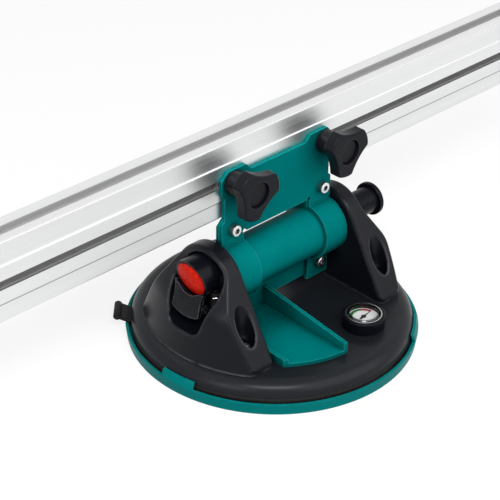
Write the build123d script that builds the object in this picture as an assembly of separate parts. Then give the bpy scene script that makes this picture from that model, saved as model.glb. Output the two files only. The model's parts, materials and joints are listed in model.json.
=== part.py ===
"""Rail section of a tile carrying frame with its pumped vacuum cup.

Millimetres.  The origin is the centre of the cup on the surface it stands on,
+X runs along the handle and the rail, +Y towards the rail and +Z up.
"""
from build123d import *
import math
import os

# Pad cover and rubber pad
COVER_RADIUS = 107.0
COVER_FLOOR = 1.6
COVER_WALL = 2.0
COVER_DROP = 2.7
COVER_FLARE = 1.0
CLIP_COUNT = 3
CLIP_BEARING = 67.0
CLIP_WIDTH = 28.0
CLIP_RISE = 5.4
CLIP_LEAN = 1.8
PAD_GAP = 1.2
PAD_THICKNESS = 9.7
PAD_CHAMBER_DEPTH = 4.0
PAD_LIP_WIDTH = 16.0
PAD_GROOVES = 3
PAD_GROOVE_WIDTH = 2.0
PAD_GROOVE_DEPTH = 1.5
PULL_TAB_BEARING = 136.0
PULL_TAB_REACH = 13.6
PULL_TAB_WIDTH = 19.0
PULL_TAB_CORNER = 2.0
PULL_TAB_RISE = 7.6
PULL_TAB_BEND = 0.7
PULL_TAB_TILT = 22.0
PULL_TAB_THICKNESS = 3.2
PULL_TAB_BEAD = 4.4
PULL_TAB_CLEARANCE = 0.4

# Base and the two handle towers
BASE_THICKNESS = 10.7
BASE_EDGE = 0.4
HANDLE_RISE = 47.3
TOWER_DEPTH = 40.5
TOWER_WALL = 5.0
TOWER_ARCH_RADIUS = 28.0
TOWER_FLANK_ANGLE = 60.0
DOME_FOOT_INSET = 8.3
DOME_DRAFT = 6.5
DOME_SHOULDER_RISE = 38.0
DOME_SLOPE = 54.0
DOME_ROUND = 25.0
DOME_CROWN_INSET = 17.5
DOME_CROWN_SLOPE = 75.0
DOME_CROWN_ROUND = 20.0
TOWER_TOE = 3.0
TOWER_TOE_ROUND = 8.0
TOWER_ROUND = 3.0
TOWER_CORNER = 12.0
TOWER_INNER_CORNER = 5.0
OPENING_RADIUS = 21.2
OPENING_RISE = 2.1
OPENING_SHIFT = 2.0
OPENING_FLOOR_RISE = 19.0
OPENING_FLOOR_WIDTH = 30.0
OPENING_CORNER = 7.0
OPENING_LIP = 1.4
TOWER_SCREW_INSET = 13.2
TOWER_SCREW_Y = 41.2
TOWER_SCREW_BORE = 14.0
TOWER_SCREW_LIP = 1.0
TOWER_SCREW_SEAT = 8.0
TOWER_SCREW_DIAMETER = 6.0
TOWER_SCREW_HEAD = 10.0
TOWER_SCREW_HEAD_HEIGHT = 6.0
TOWER_SCREW_SOCKET = 5.0
TOWER_SCREW_GRIP = 7.0

# Handle tube and the hand pump inside it
TUBE_DIAMETER = 38.0
TUBE_WALL = 2.5
TUBE_ENGAGEMENT = 7.0
SPIGOT_LENGTH = 16.0
PUMP_FLANGE_DIAMETER = 37.0
PUMP_FLANGE_THICKNESS = 5.0
PLUNGER_DIAMETER = 20.5
PLUNGER_REACH = 38.5
PLUNGER_STROKE = 20.0
PLUNGER_CAP_DIAMETER = 26.0
PLUNGER_CAP_THICKNESS = 4.0
PLUNGER_PEG_DIAMETER = 8.0
PISTON_LENGTH = 8.0
SEAL_SECTION = 2.0
CHECK_VALVE_LENGTH = 8.0
CHECK_VALVE_PORT = 4.0
SPRING_SPARE = 4.4
SPRING_DIAMETER = 22.0
SPRING_WIRE = 1.6
SPRING_TURNS = 6

# Release valve at the other end of the handle
VALVE_COLLAR = 4.0
VALVE_COLLAR_DIAMETER = 37.0
VALVE_REACH = 18.0
VALVE_OFFSET = 7.7
VALVE_TILT = 14.0
VALVE_HOOD_DIAMETER = 30.0
BUTTON_DIAMETER = 25.6
BUTTON_SKIRT = 4.0
BUTTON_DOME = 2.2
BUTTON_PROUD = 0.6
BUTTON_TRAVEL = 3.0
BUTTON_SPRING_LENGTH = 12.0
BUTTON_SPRING_DIAMETER = 8.0
BUTTON_SPRING_WIRE = 0.9
BUTTON_SPRING_TURNS = 6
LEVER_WIDTH = 26.6
LEVER_DROP = 15.6
LEVER_THICKNESS = 3.4
LEVER_TILT = 14.0
LEVER_LIP_DROP = 11.3
LEVER_LIP_RISE = 4.3
LEVER_LIP_WIDTH = 24.0
LEVER_SWELL = 2.2
LEVER_CORNER = 1.2
LEVER_ROUND = 0.6
LEVER_GAP = 0.5
LEVER_PROUD = 6.2
LEVER_ARM = 2.6
LEVER_TRAVEL_GAP = 0.4
LEVER_PIN_DIAMETER = 3.0
LEVER_PIN_REACH = 10.0
LEVER_PIN_DROP = 18.6
LUG_WIDTH = 6.0
LUG_RADIUS = 3.2
HOSE_DIAMETER = 8.0
HOSE_BORE = 5.0
HOSE_REACH = 6.0
HOSE_Y = -12.0
HOSE_DROP = 2.3
HOSE_BARB = 14.0
HOSE_CLIP_WIRE = 1.2
HOSE_CLIP_DROP = 2.4

# Vacuum gauge
GAUGE_INSET = 32.8
GAUGE_BEARING = -67.3
GAUGE_DIAMETER = 31.4
GAUGE_HEIGHT = 9.8
GAUGE_WELL_DIAMETER = 26.4
GAUGE_WELL_DEPTH = 4.2
BEZEL_WIDTH = 1.3
BEZEL_HEIGHT = 2.6
DIAL_THICKNESS = 0.8
NEEDLE_LENGTH = 9.5
NEEDLE_TAIL = 4.0
NEEDLE_THICKNESS = 0.4
NEEDLE_BEARING = 8.0
NEEDLE_HUB_DIAMETER = 3.6
PIVOT_DIAMETER = 1.4
LENS_THICKNESS = 1.0

# Clamp plates on the handle
SHEET = 3.0
PLATE_SIDE_GAP = 1.0
WAIST_STEP = 2.5
WAIST_DROP = 28.9
EAR_PROUD = 0.2
EAR_RISE = 9.4
EAR_DROP = 8.0
EAR_LENGTH = 22.7
EAR_CHAMFER = 5.7
EAR_STEP = 5.0
STRAP_WIDTH = 21.0
NOTCH_RISE = 9.1
NOTCH_RELIEF = 2.0
LOWER_FLANGE = 19.0
CLAMP_SCREW_INSET = 10.0
CLAMP_SCREW_UPPER = 15.7
CLAMP_SCREW_LOWER = 9.3
CLAMP_SCREW_DIAMETER = 5.0
CLAMP_SCREW_HEAD = 8.5
CLAMP_SCREW_HEAD_HEIGHT = 5.0
CLAMP_SCREW_SOCKET = 4.0
CLAMP_SCREW_PROUD = 1.0
CLAMP_NUT_WIDTH = 8.0
CLAMP_NUT_HEIGHT = 4.0
BACK_TAB_CHAMFER = 6.0
BACK_LUG_DROP = 3.0
TRAY_RIGHT = -7.0
TRAY_SIDE_GAP = 3.0
TRAY_RADIUS = 82.0
TRAY_RIB_BACK = 19.5
TRAY_RIB_FRONT = 9.0
TRAY_LIP = 3.0

# Rail and the two clamp knobs
RAIL_LENGTH = 600.0
RAIL_HEIGHT = 57.0
RAIL_DEPTH = 27.5
RAIL_RISE = 44.1
RAIL_CORNER = 1.5
RAIL_BAND = 26.2
RAIL_BAND_PROUD = 1.0
SIDE_SLOT_RISE = 27.5
SIDE_SLOT_WIDTH = 6.6
TOP_SLOT_WIDTH = 8.6
TOP_SLOT_OFFSET = 12.4
SLOT_LIP = 2.5
SLOT_CHANNEL_WIDTH = 15.0
SLOT_CHANNEL_DEPTH = 6.0
RAIL_WALL = 2.2
SLOT_NUT_LENGTH = 18.0
SLOT_NUT_THICKNESS = 5.0
KNOB_LEFT_INSET = 10.9
KNOB_RIGHT_INSET = 8.7
KNOB_LEFT_TURN = 11.0
KNOB_RIGHT_TURN = 20.0
KNOB_HUB_DIAMETER = 17.4
KNOB_HUB_LENGTH = 16.7
KNOB_LOBES = 3
KNOB_LOBE_RADIUS = 19.5
KNOB_WAIST_RADIUS = 13.6
KNOB_LOBE_ANGLE = 22.0
KNOB_DEPTH = 8.5
KNOB_LOBE_ROUND = 3.0
KNOB_ROUND = 1.5
KNOB_CAP_DIAMETER = 19.0
KNOB_CAP_THICKNESS = 2.0
KNOB_CAP_RECESS = 0.8
STUD_DIAMETER = 6.0

# Shapes that fasteners and springs share
HEX_SIDES = 6
SCREW_CHAMFER = 0.5
COIL_FACETS = 8

# Clearances
SEAT_CLEARANCE = 0.1
SLIDE_CLEARANCE = 0.3
RUNNING_CLEARANCE = 0.08

# Heights, radii and places that follow from the sizes above
PAD_RADIUS = COVER_RADIUS - COVER_WALL - PAD_GAP
PAD_TOP = COVER_FLOOR + PAD_THICKNESS
COVER_TOP = PAD_TOP - COVER_DROP
BASE_TOP = PAD_TOP + BASE_THICKNESS
AXIS_Z = BASE_TOP + HANDLE_RISE
TUBE_RADIUS = TUBE_DIAMETER / 2
TUBE_BORE = TUBE_RADIUS - TUBE_WALL
DOME_FOOT_RADIUS = PAD_RADIUS - DOME_FOOT_INSET
TOWER_FACE = DOME_FOOT_RADIUS - TOWER_DEPTH
TOWER_GAP = 2 * TOWER_FACE
DOME_SHOULDER_RADIUS = DOME_FOOT_RADIUS - DOME_DRAFT
DOME_CROWN_RADIUS = DOME_SHOULDER_RADIUS - DOME_CROWN_INSET
TUBE_END = TOWER_FACE + TUBE_ENGAGEMENT
TOWER_SCREW_X = TOWER_FACE + TOWER_SCREW_INSET
LEVER_PIN_X = TUBE_END + LEVER_PIN_REACH
HOSE_X = TUBE_END + HOSE_REACH
PLATE_WIDTH = TOWER_GAP - 2 * PLATE_SIDE_GAP
EAR_WIDTH = PLATE_WIDTH + 2 * EAR_PROUD
KNOB_LEFT_X = KNOB_LEFT_INSET - EAR_WIDTH / 2
KNOB_RIGHT_X = EAR_WIDTH / 2 - KNOB_RIGHT_INSET
TRAY_LEFT = TRAY_SIDE_GAP - TOWER_FACE
STRAP_RADIUS = TUBE_RADIUS + SHEET
STRAP_IN = PLATE_WIDTH / 2 - STRAP_WIDTH
PLATE_BOTTOM = AXIS_Z - STRAP_RADIUS - LOWER_FLANGE
CLAMP_SCREW_X = PLATE_WIDTH / 2 - CLAMP_SCREW_INSET
CLAMP_SCREW_Z = (AXIS_Z + TUBE_RADIUS + CLAMP_SCREW_UPPER, AXIS_Z - TUBE_RADIUS - CLAMP_SCREW_LOWER)
RAIL_BOTTOM = AXIS_Z + RAIL_RISE
RAIL_TOP = RAIL_BOTTOM + RAIL_HEIGHT
RAIL_FRONT = SEAT_CLEARANCE
RAIL_BACK = RAIL_FRONT + RAIL_DEPTH
SLOT_Z = RAIL_BOTTOM + SIDE_SLOT_RISE
SLOT_FLOOR = SLOT_LIP + SLOT_CHANNEL_DEPTH
KNOB_BACK = -SHEET - SEAT_CLEARANCE
KNOB_SHOULDER = KNOB_BACK - KNOB_HUB_LENGTH
KNOB_FRONT = KNOB_SHOULDER - KNOB_DEPTH
PISTON_END = TUBE_END - SPIGOT_LENGTH - SLIDE_CLEARANCE
PISTON_FACE = PISTON_END - PISTON_LENGTH
SPRING_LENGTH = PLUNGER_STROKE + SPRING_TURNS * SPRING_WIRE + SPRING_SPARE
CHECK_VALVE_FACE = PISTON_FACE - SPRING_LENGTH
HOSE_TOP = AXIS_Z - HOSE_DROP
CLIP_RADIUS = HOSE_DIAMETER / 2 + SEAT_CLEARANCE + HOSE_CLIP_WIRE
GAUGE_X = (PAD_RADIUS - GAUGE_INSET) * math.cos(math.radians(GAUGE_BEARING))
GAUGE_Y = (PAD_RADIUS - GAUGE_INSET) * math.sin(math.radians(GAUGE_BEARING))
GAUGE_TOP = BASE_TOP + GAUGE_HEIGHT
DIAL_TOP = GAUGE_TOP - GAUGE_WELL_DEPTH + DIAL_THICKNESS


def block(x, y, z):
    """Box between a low and a high value on each axis."""
    size = [high - low for low, high in (x, y, z)]
    centre = [(low + high) / 2 for low, high in (x, y, z)]
    return Pos(*centre) * Box(*size)


def rod_x(low, high, radius, y=0.0, z=0.0):
    return Pos((low + high) / 2, y, z) * Rot(0, 90, 0) * Cylinder(radius, high - low)


def rod_y(low, high, radius, x=0.0, z=0.0):
    return Pos(x, (low + high) / 2, z) * Rot(90, 0, 0) * Cylinder(radius, high - low)


def rod_z(low, high, radius, x=0.0, y=0.0):
    return Pos(x, y, (low + high) / 2) * Cylinder(radius, high - low)


def coil(length, diameter, wire, turns):
    """Compression spring standing on the XY plane, its wire an octagon in section."""
    path = Pos(0, 0, wire / 2) * Helix((length - wire) / turns, length - wire, (diameter - wire) / 2)
    section = Plane(origin=path @ 0, z_dir=path % 0) * RegularPolygon(wire / 2, COIL_FACETS)
    return sweep(section, path=path, is_frenet=True)


def socket_screw(diameter, length, head, head_height, socket):
    """Socket head screw with its head above the XY plane and its shank below."""
    body = rod_z(0, head_height, head / 2)
    body = chamfer(body.edges().group_by(Axis.Z)[-1], SCREW_CHAMFER)
    body += rod_z(-length, 0, diameter / 2)
    depth = head_height / 2
    recess = extrude(RegularPolygon(socket / 2, HEX_SIDES, major_radius=False), depth)
    return body - Pos(0, 0, head_height - depth) * recess


def pad_cover():
    rim = COVER_RADIUS + COVER_FLARE
    profile = Plane.XZ * Polygon(
        (0, 0),
        (COVER_RADIUS, 0),
        (rim, COVER_TOP),
        (rim - COVER_WALL, COVER_TOP),
        (COVER_RADIUS - COVER_WALL, COVER_FLOOR),
        (0, COVER_FLOOR),
        align=None,
    )
    dish = revolve(profile, Axis.Z)
    dish = fillet(dish.edges().group_by(Axis.Z)[0], COVER_FLOOR / 2)
    clip_top = COVER_TOP + CLIP_RISE
    section = Plane.XZ * Polygon(
        (rim - COVER_WALL, COVER_TOP - COVER_FLOOR),
        (rim - COVER_FLARE / 2, COVER_TOP - COVER_FLOOR),
        (rim, COVER_TOP),
        (rim - CLIP_LEAN, clip_top),
        (rim - COVER_WALL - CLIP_LEAN, clip_top),
        (rim - COVER_WALL, COVER_TOP),
        align=None,
    )
    sweep_angle = math.degrees(CLIP_WIDTH / COVER_RADIUS)
    clip = revolve(section, Axis.Z, sweep_angle)
    for index in range(CLIP_COUNT):
        bearing = CLIP_BEARING + index * 360 / CLIP_COUNT
        dish += Rot(0, 0, bearing - sweep_angle / 2) * clip
    half = PULL_TAB_WIDTH / 2 + PULL_TAB_CLEARANCE
    gap_bottom = PULL_TAB_RISE - PULL_TAB_CLEARANCE
    gap = block((PAD_RADIUS, rim + COVER_WALL), (-half, half), (gap_bottom, COVER_TOP))
    return dish - Rot(0, 0, PULL_TAB_BEARING) * gap


def rubber_pad():
    pad = rod_z(COVER_FLOOR, PAD_TOP, PAD_RADIUS)
    chamber = PAD_RADIUS - PAD_LIP_WIDTH
    pad -= rod_z(COVER_FLOOR, COVER_FLOOR + PAD_CHAMBER_DEPTH, chamber)
    for index in range(PAD_GROOVES):
        middle = chamber + PAD_LIP_WIDTH * (index + 1) / (PAD_GROOVES + 1)
        groove = rod_z(COVER_FLOOR, COVER_FLOOR + PAD_GROOVE_DEPTH, middle + PAD_GROOVE_WIDTH / 2)
        groove -= rod_z(COVER_FLOOR, COVER_FLOOR + PAD_GROOVE_DEPTH, middle - PAD_GROOVE_WIDTH / 2)
        pad -= groove
    half = PULL_TAB_WIDTH / 2
    bend = PAD_RADIUS + PULL_TAB_BEND
    tongue = block((0, PULL_TAB_REACH), (-half, half), (0, PULL_TAB_THICKNESS))
    tongue = fillet(tongue.edges().filter_by(Axis.Z).group_by(Axis.X)[-1], PULL_TAB_CORNER)
    bead = half - PULL_TAB_CORNER
    bead_x = PULL_TAB_REACH - PULL_TAB_BEAD / 2
    tongue += rod_y(-bead, bead, PULL_TAB_BEAD / 2, bead_x, PULL_TAB_THICKNESS / 2)
    tab = Pos(bend, 0, PULL_TAB_RISE) * Rot(0, -PULL_TAB_TILT, 0) * tongue
    root_z = (PULL_TAB_RISE, PULL_TAB_RISE + PULL_TAB_THICKNESS)
    tab += block((PAD_RADIUS - PULL_TAB_WIDTH / 2, bend), (-half, half), root_z)
    return pad + Rot(0, 0, PULL_TAB_BEARING) * tab


def tower_screw_places():
    return [(x, y) for x in (-TOWER_SCREW_X, TOWER_SCREW_X) for y in (-TOWER_SCREW_Y, TOWER_SCREW_Y)]


def base_body():
    body = rod_z(PAD_TOP, BASE_TOP, PAD_RADIUS)
    body = fillet(body.edges().group_by(Axis.Z)[-1], BASE_THICKNESS - BASE_EDGE)
    for x, y in tower_screw_places():
        hole = TOWER_SCREW_DIAMETER / 2 + SEAT_CLEARANCE
        body -= rod_z(BASE_TOP - TOWER_SCREW_GRIP, BASE_TOP, hole, x, y)
    port_depth = BASE_THICKNESS / 2
    body -= rod_z(BASE_TOP - port_depth, BASE_TOP, HOSE_DIAMETER / 2 + SEAT_CLEARANCE, -HOSE_X, HOSE_Y)
    return body


def mouth_edges(body, opening, back_x):
    """Edges where the opening, drawn on the YZ plane, comes out of the tower's round face."""
    outline = (Plane.YZ * opening).edges()

    def at_mouth(edge):
        middle = edge @ 0.5
        beside = Vector(0, middle.Y, middle.Z)
        nearest = min(side.distance_to(beside) for side in outline)
        return nearest < SEAT_CLEARANCE and middle.X > back_x and edge.geom_type != GeomType.LINE

    return body.edges().filter_by(at_mouth)


def tower():
    """Right-hand tower: an arched A-frame wall cut to the round of the base."""
    turn = math.radians(90 - TOWER_FLANK_ANGLE)
    tangent_y = TOWER_ARCH_RADIUS * math.cos(turn)
    tangent_z = AXIS_Z + TOWER_ARCH_RADIUS * math.sin(turn)
    toe_z = BASE_TOP + TOWER_TOE
    foot_y = tangent_y + (tangent_z - toe_z) * math.tan(turn)
    crown = (0, AXIS_Z + TOWER_ARCH_RADIUS)
    outline = ThreePointArc((-tangent_y, tangent_z), crown, (tangent_y, tangent_z))
    outline += Polyline(
        (tangent_y, tangent_z),
        (foot_y, toe_z),
        (foot_y, BASE_TOP),
        (-foot_y, BASE_TOP),
        (-foot_y, toe_z),
        (-tangent_y, tangent_z),
    )
    arched = make_face(outline)
    arched = fillet(arched.vertices().group_by(Axis.Y)[1], TOWER_TOE_ROUND)
    wall = extrude(Plane.YZ * arched, DOME_FOOT_RADIUS)
    shoulder_z = BASE_TOP + DOME_SHOULDER_RISE
    crown_z = shoulder_z + DOME_CROWN_INSET * math.tan(math.radians(DOME_SLOPE))
    peak_z = crown_z + DOME_CROWN_RADIUS * math.tan(math.radians(DOME_CROWN_SLOPE))
    half = Polygon(
        (0, BASE_TOP),
        (DOME_FOOT_RADIUS, BASE_TOP),
        (DOME_SHOULDER_RADIUS, shoulder_z),
        (DOME_CROWN_RADIUS, crown_z),
        (0, peak_z),
        align=None,
    )
    half = fillet(half.vertices().sort_by_distance((DOME_SHOULDER_RADIUS, shoulder_z))[0], DOME_ROUND)
    half = fillet(half.vertices().sort_by_distance((DOME_CROWN_RADIUS, crown_z))[0], DOME_CROWN_ROUND)
    dome = revolve(Plane.XZ * half, Axis.Z)
    body = wall & dome
    body -= block((0, TOWER_FACE), (-foot_y, foot_y), (0, crown[1] + TOWER_WALL))
    raised = body.edges().filter_by(lambda edge: edge.center().Z > BASE_TOP + SEAT_CLEARANCE)
    body = fillet(raised, TOWER_ROUND)
    depth = DOME_FOOT_RADIUS - TOWER_FACE
    plan = Circle(DOME_FOOT_RADIUS) & Pos(TOWER_FACE + depth / 2, 0) * Rectangle(depth, 2 * foot_y)
    plan = fillet(plan.vertices().group_by(Axis.X)[-1], TOWER_CORNER)
    plan = fillet(plan.vertices().group_by(Axis.X)[0], TOWER_INNER_CORNER)
    body &= Pos(0, 0, BASE_TOP) * extrude(plan, crown[1])
    low_z = BASE_TOP + OPENING_FLOOR_RISE + OPENING_CORNER
    low_y = OPENING_FLOOR_WIDTH / 2 - OPENING_CORNER
    rounds = [Pos(OPENING_SHIFT, AXIS_Z + OPENING_RISE) * Circle(OPENING_RADIUS)]
    rounds += [Pos(OPENING_SHIFT + y, low_z) * Circle(OPENING_CORNER) for y in (-low_y, low_y)]
    opening = make_hull([edge for shape in rounds for edge in shape.edges()])
    back_x = TOWER_FACE + TOWER_WALL
    body -= Pos(back_x, 0, 0) * extrude(Plane.YZ * opening, COVER_RADIUS)
    body = fillet(mouth_edges(body, opening, back_x), OPENING_LIP)
    body -= rod_x(TOWER_FACE, TOWER_FACE + TOWER_WALL, TUBE_RADIUS + SEAT_CLEARANCE, 0, AXIS_Z)
    seat_z = BASE_TOP + TOWER_SCREW_SEAT
    for y in (-TOWER_SCREW_Y, TOWER_SCREW_Y):
        body -= rod_z(seat_z, crown[1], TOWER_SCREW_BORE / 2, TOWER_SCREW_X, y)
        body -= rod_z(BASE_TOP, seat_z, TOWER_SCREW_DIAMETER / 2 + SEAT_CLEARANCE, TOWER_SCREW_X, y)
    bore_mouths = body.edges().filter_by(GeomType.ELLIPSE).filter_by(lambda edge: edge.is_closed)
    return fillet(bore_mouths, TOWER_SCREW_LIP)


def towers():
    right = tower()
    left = Rot(0, 0, 180) * right
    hose_hole = HOSE_DIAMETER / 2 + SEAT_CLEARANCE
    left -= rod_z(BASE_TOP, HOSE_TOP, hose_hole, -HOSE_X, HOSE_Y)
    clip_low = HOSE_TOP - HOSE_CLIP_DROP - HOSE_CLIP_WIRE
    left -= rod_z(clip_low, AXIS_Z, CLIP_RADIUS + SLIDE_CLEARANCE, -HOSE_X, HOSE_Y)
    return {"tower_left": left, "tower_right": right}


def tower_screws():
    screw = socket_screw(
        TOWER_SCREW_DIAMETER,
        TOWER_SCREW_SEAT + TOWER_SCREW_GRIP - SEAT_CLEARANCE,
        TOWER_SCREW_HEAD,
        TOWER_SCREW_HEAD_HEIGHT,
        TOWER_SCREW_SOCKET,
    )
    seat_z = BASE_TOP + TOWER_SCREW_SEAT
    return [Pos(x, y, seat_z) * screw for x, y in tower_screw_places()]


def handle_tube():
    tube = rod_x(-TUBE_END, TUBE_END, TUBE_RADIUS, 0, AXIS_Z)
    return tube - rod_x(-TUBE_END, TUBE_END, TUBE_BORE, 0, AXIS_Z)


def pump_pieces():
    """Hand pump in the handle: its plunger sticks out of the right-hand tower."""
    spigot = TUBE_BORE - SEAT_CLEARANCE
    flange_end = TUBE_END + PUMP_FLANGE_THICKNESS
    plunger_end = TUBE_END + PLUNGER_REACH
    peg = PLUNGER_PEG_DIAMETER / 2
    peg_depth = PLUNGER_CAP_THICKNESS / 2
    head = rod_x(TUBE_END - SPIGOT_LENGTH, TUBE_END, spigot, 0, AXIS_Z)
    head += rod_x(TUBE_END, flange_end, PUMP_FLANGE_DIAMETER / 2, 0, AXIS_Z)
    head = chamfer(head.edges().group_by(Axis.X)[-1], PUMP_FLANGE_THICKNESS / 4)
    plunger_hole = PLUNGER_DIAMETER / 2 + RUNNING_CLEARANCE
    head -= rod_x(TUBE_END - SPIGOT_LENGTH, flange_end, plunger_hole, 0, AXIS_Z)
    rod = rod_x(PISTON_END, plunger_end, PLUNGER_DIAMETER / 2, 0, AXIS_Z)
    rod += rod_x(PISTON_FACE, PISTON_END, peg, 0, AXIS_Z)
    rod += rod_x(plunger_end, plunger_end + peg_depth, peg, 0, AXIS_Z)
    cap_end = plunger_end + PLUNGER_CAP_THICKNESS
    cap = rod_x(plunger_end, cap_end, PLUNGER_CAP_DIAMETER / 2, 0, AXIS_Z)
    cap = fillet(cap.edges(), PLUNGER_CAP_THICKNESS / 4)
    cap -= rod_x(plunger_end, plunger_end + peg_depth, peg + SEAT_CLEARANCE, 0, AXIS_Z)
    piston_radius = TUBE_BORE - SLIDE_CLEARANCE
    piston = rod_x(PISTON_FACE, PISTON_END, piston_radius, 0, AXIS_Z)
    piston -= rod_x(PISTON_FACE, PISTON_END, peg + SEAT_CLEARANCE, 0, AXIS_Z)
    groove_x = (PISTON_FACE + PISTON_END) / 2
    groove_half = SEAL_SECTION / 2 + SEAT_CLEARANCE
    groove_floor = TUBE_BORE - RUNNING_CLEARANCE - SEAL_SECTION - SEAT_CLEARANCE
    groove = rod_x(groove_x - groove_half, groove_x + groove_half, TUBE_BORE, 0, AXIS_Z)
    groove -= rod_x(groove_x - groove_half, groove_x + groove_half, groove_floor, 0, AXIS_Z)
    piston -= groove
    seal_ring = Torus(TUBE_BORE - RUNNING_CLEARANCE - SEAL_SECTION / 2, SEAL_SECTION / 2)
    seal = Pos(groove_x, 0, AXIS_Z) * Rot(0, 90, 0) * seal_ring
    check = rod_x(CHECK_VALVE_FACE - CHECK_VALVE_LENGTH, CHECK_VALVE_FACE, spigot, 0, AXIS_Z)
    check -= rod_x(CHECK_VALVE_FACE - CHECK_VALVE_LENGTH, CHECK_VALVE_FACE, CHECK_VALVE_PORT / 2, 0, AXIS_Z)
    spring = coil(SPRING_LENGTH - 2 * SEAT_CLEARANCE, SPRING_DIAMETER, SPRING_WIRE, SPRING_TURNS)
    spring = Pos(CHECK_VALVE_FACE + SEAT_CLEARANCE, 0, AXIS_Z) * Rot(0, 90, 0) * spring
    return {
        "pump_head": head,
        "plunger_rod": rod,
        "plunger_cap": cap,
        "pump_piston": piston,
        "piston_seal": seal,
        "check_valve": check,
        "return_spring": spring,
    }


def mouth_plane():
    """Tilted plane of the valve's mouth, facing out."""
    tilt = math.radians(VALVE_TILT)
    mouth_at = (-TUBE_END - VALVE_REACH, 0, AXIS_Z + VALVE_OFFSET)
    return Plane(mouth_at, x_dir=(0, 1, 0), z_dir=(-math.cos(tilt), 0, -math.sin(tilt)))


def valve_hood(margin):
    """Round hood from the collar to the slanting mouth, grown outwards by a margin."""
    mouth = mouth_plane()
    radius = VALVE_HOOD_DIAMETER / 2 + margin
    hood = rod_x(-TUBE_END - 2 * VALVE_REACH, -TUBE_END, radius, 0, AXIS_Z + VALVE_OFFSET)
    return split(hood, mouth.offset(margin), keep=Keep.BOTTOM)


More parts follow.
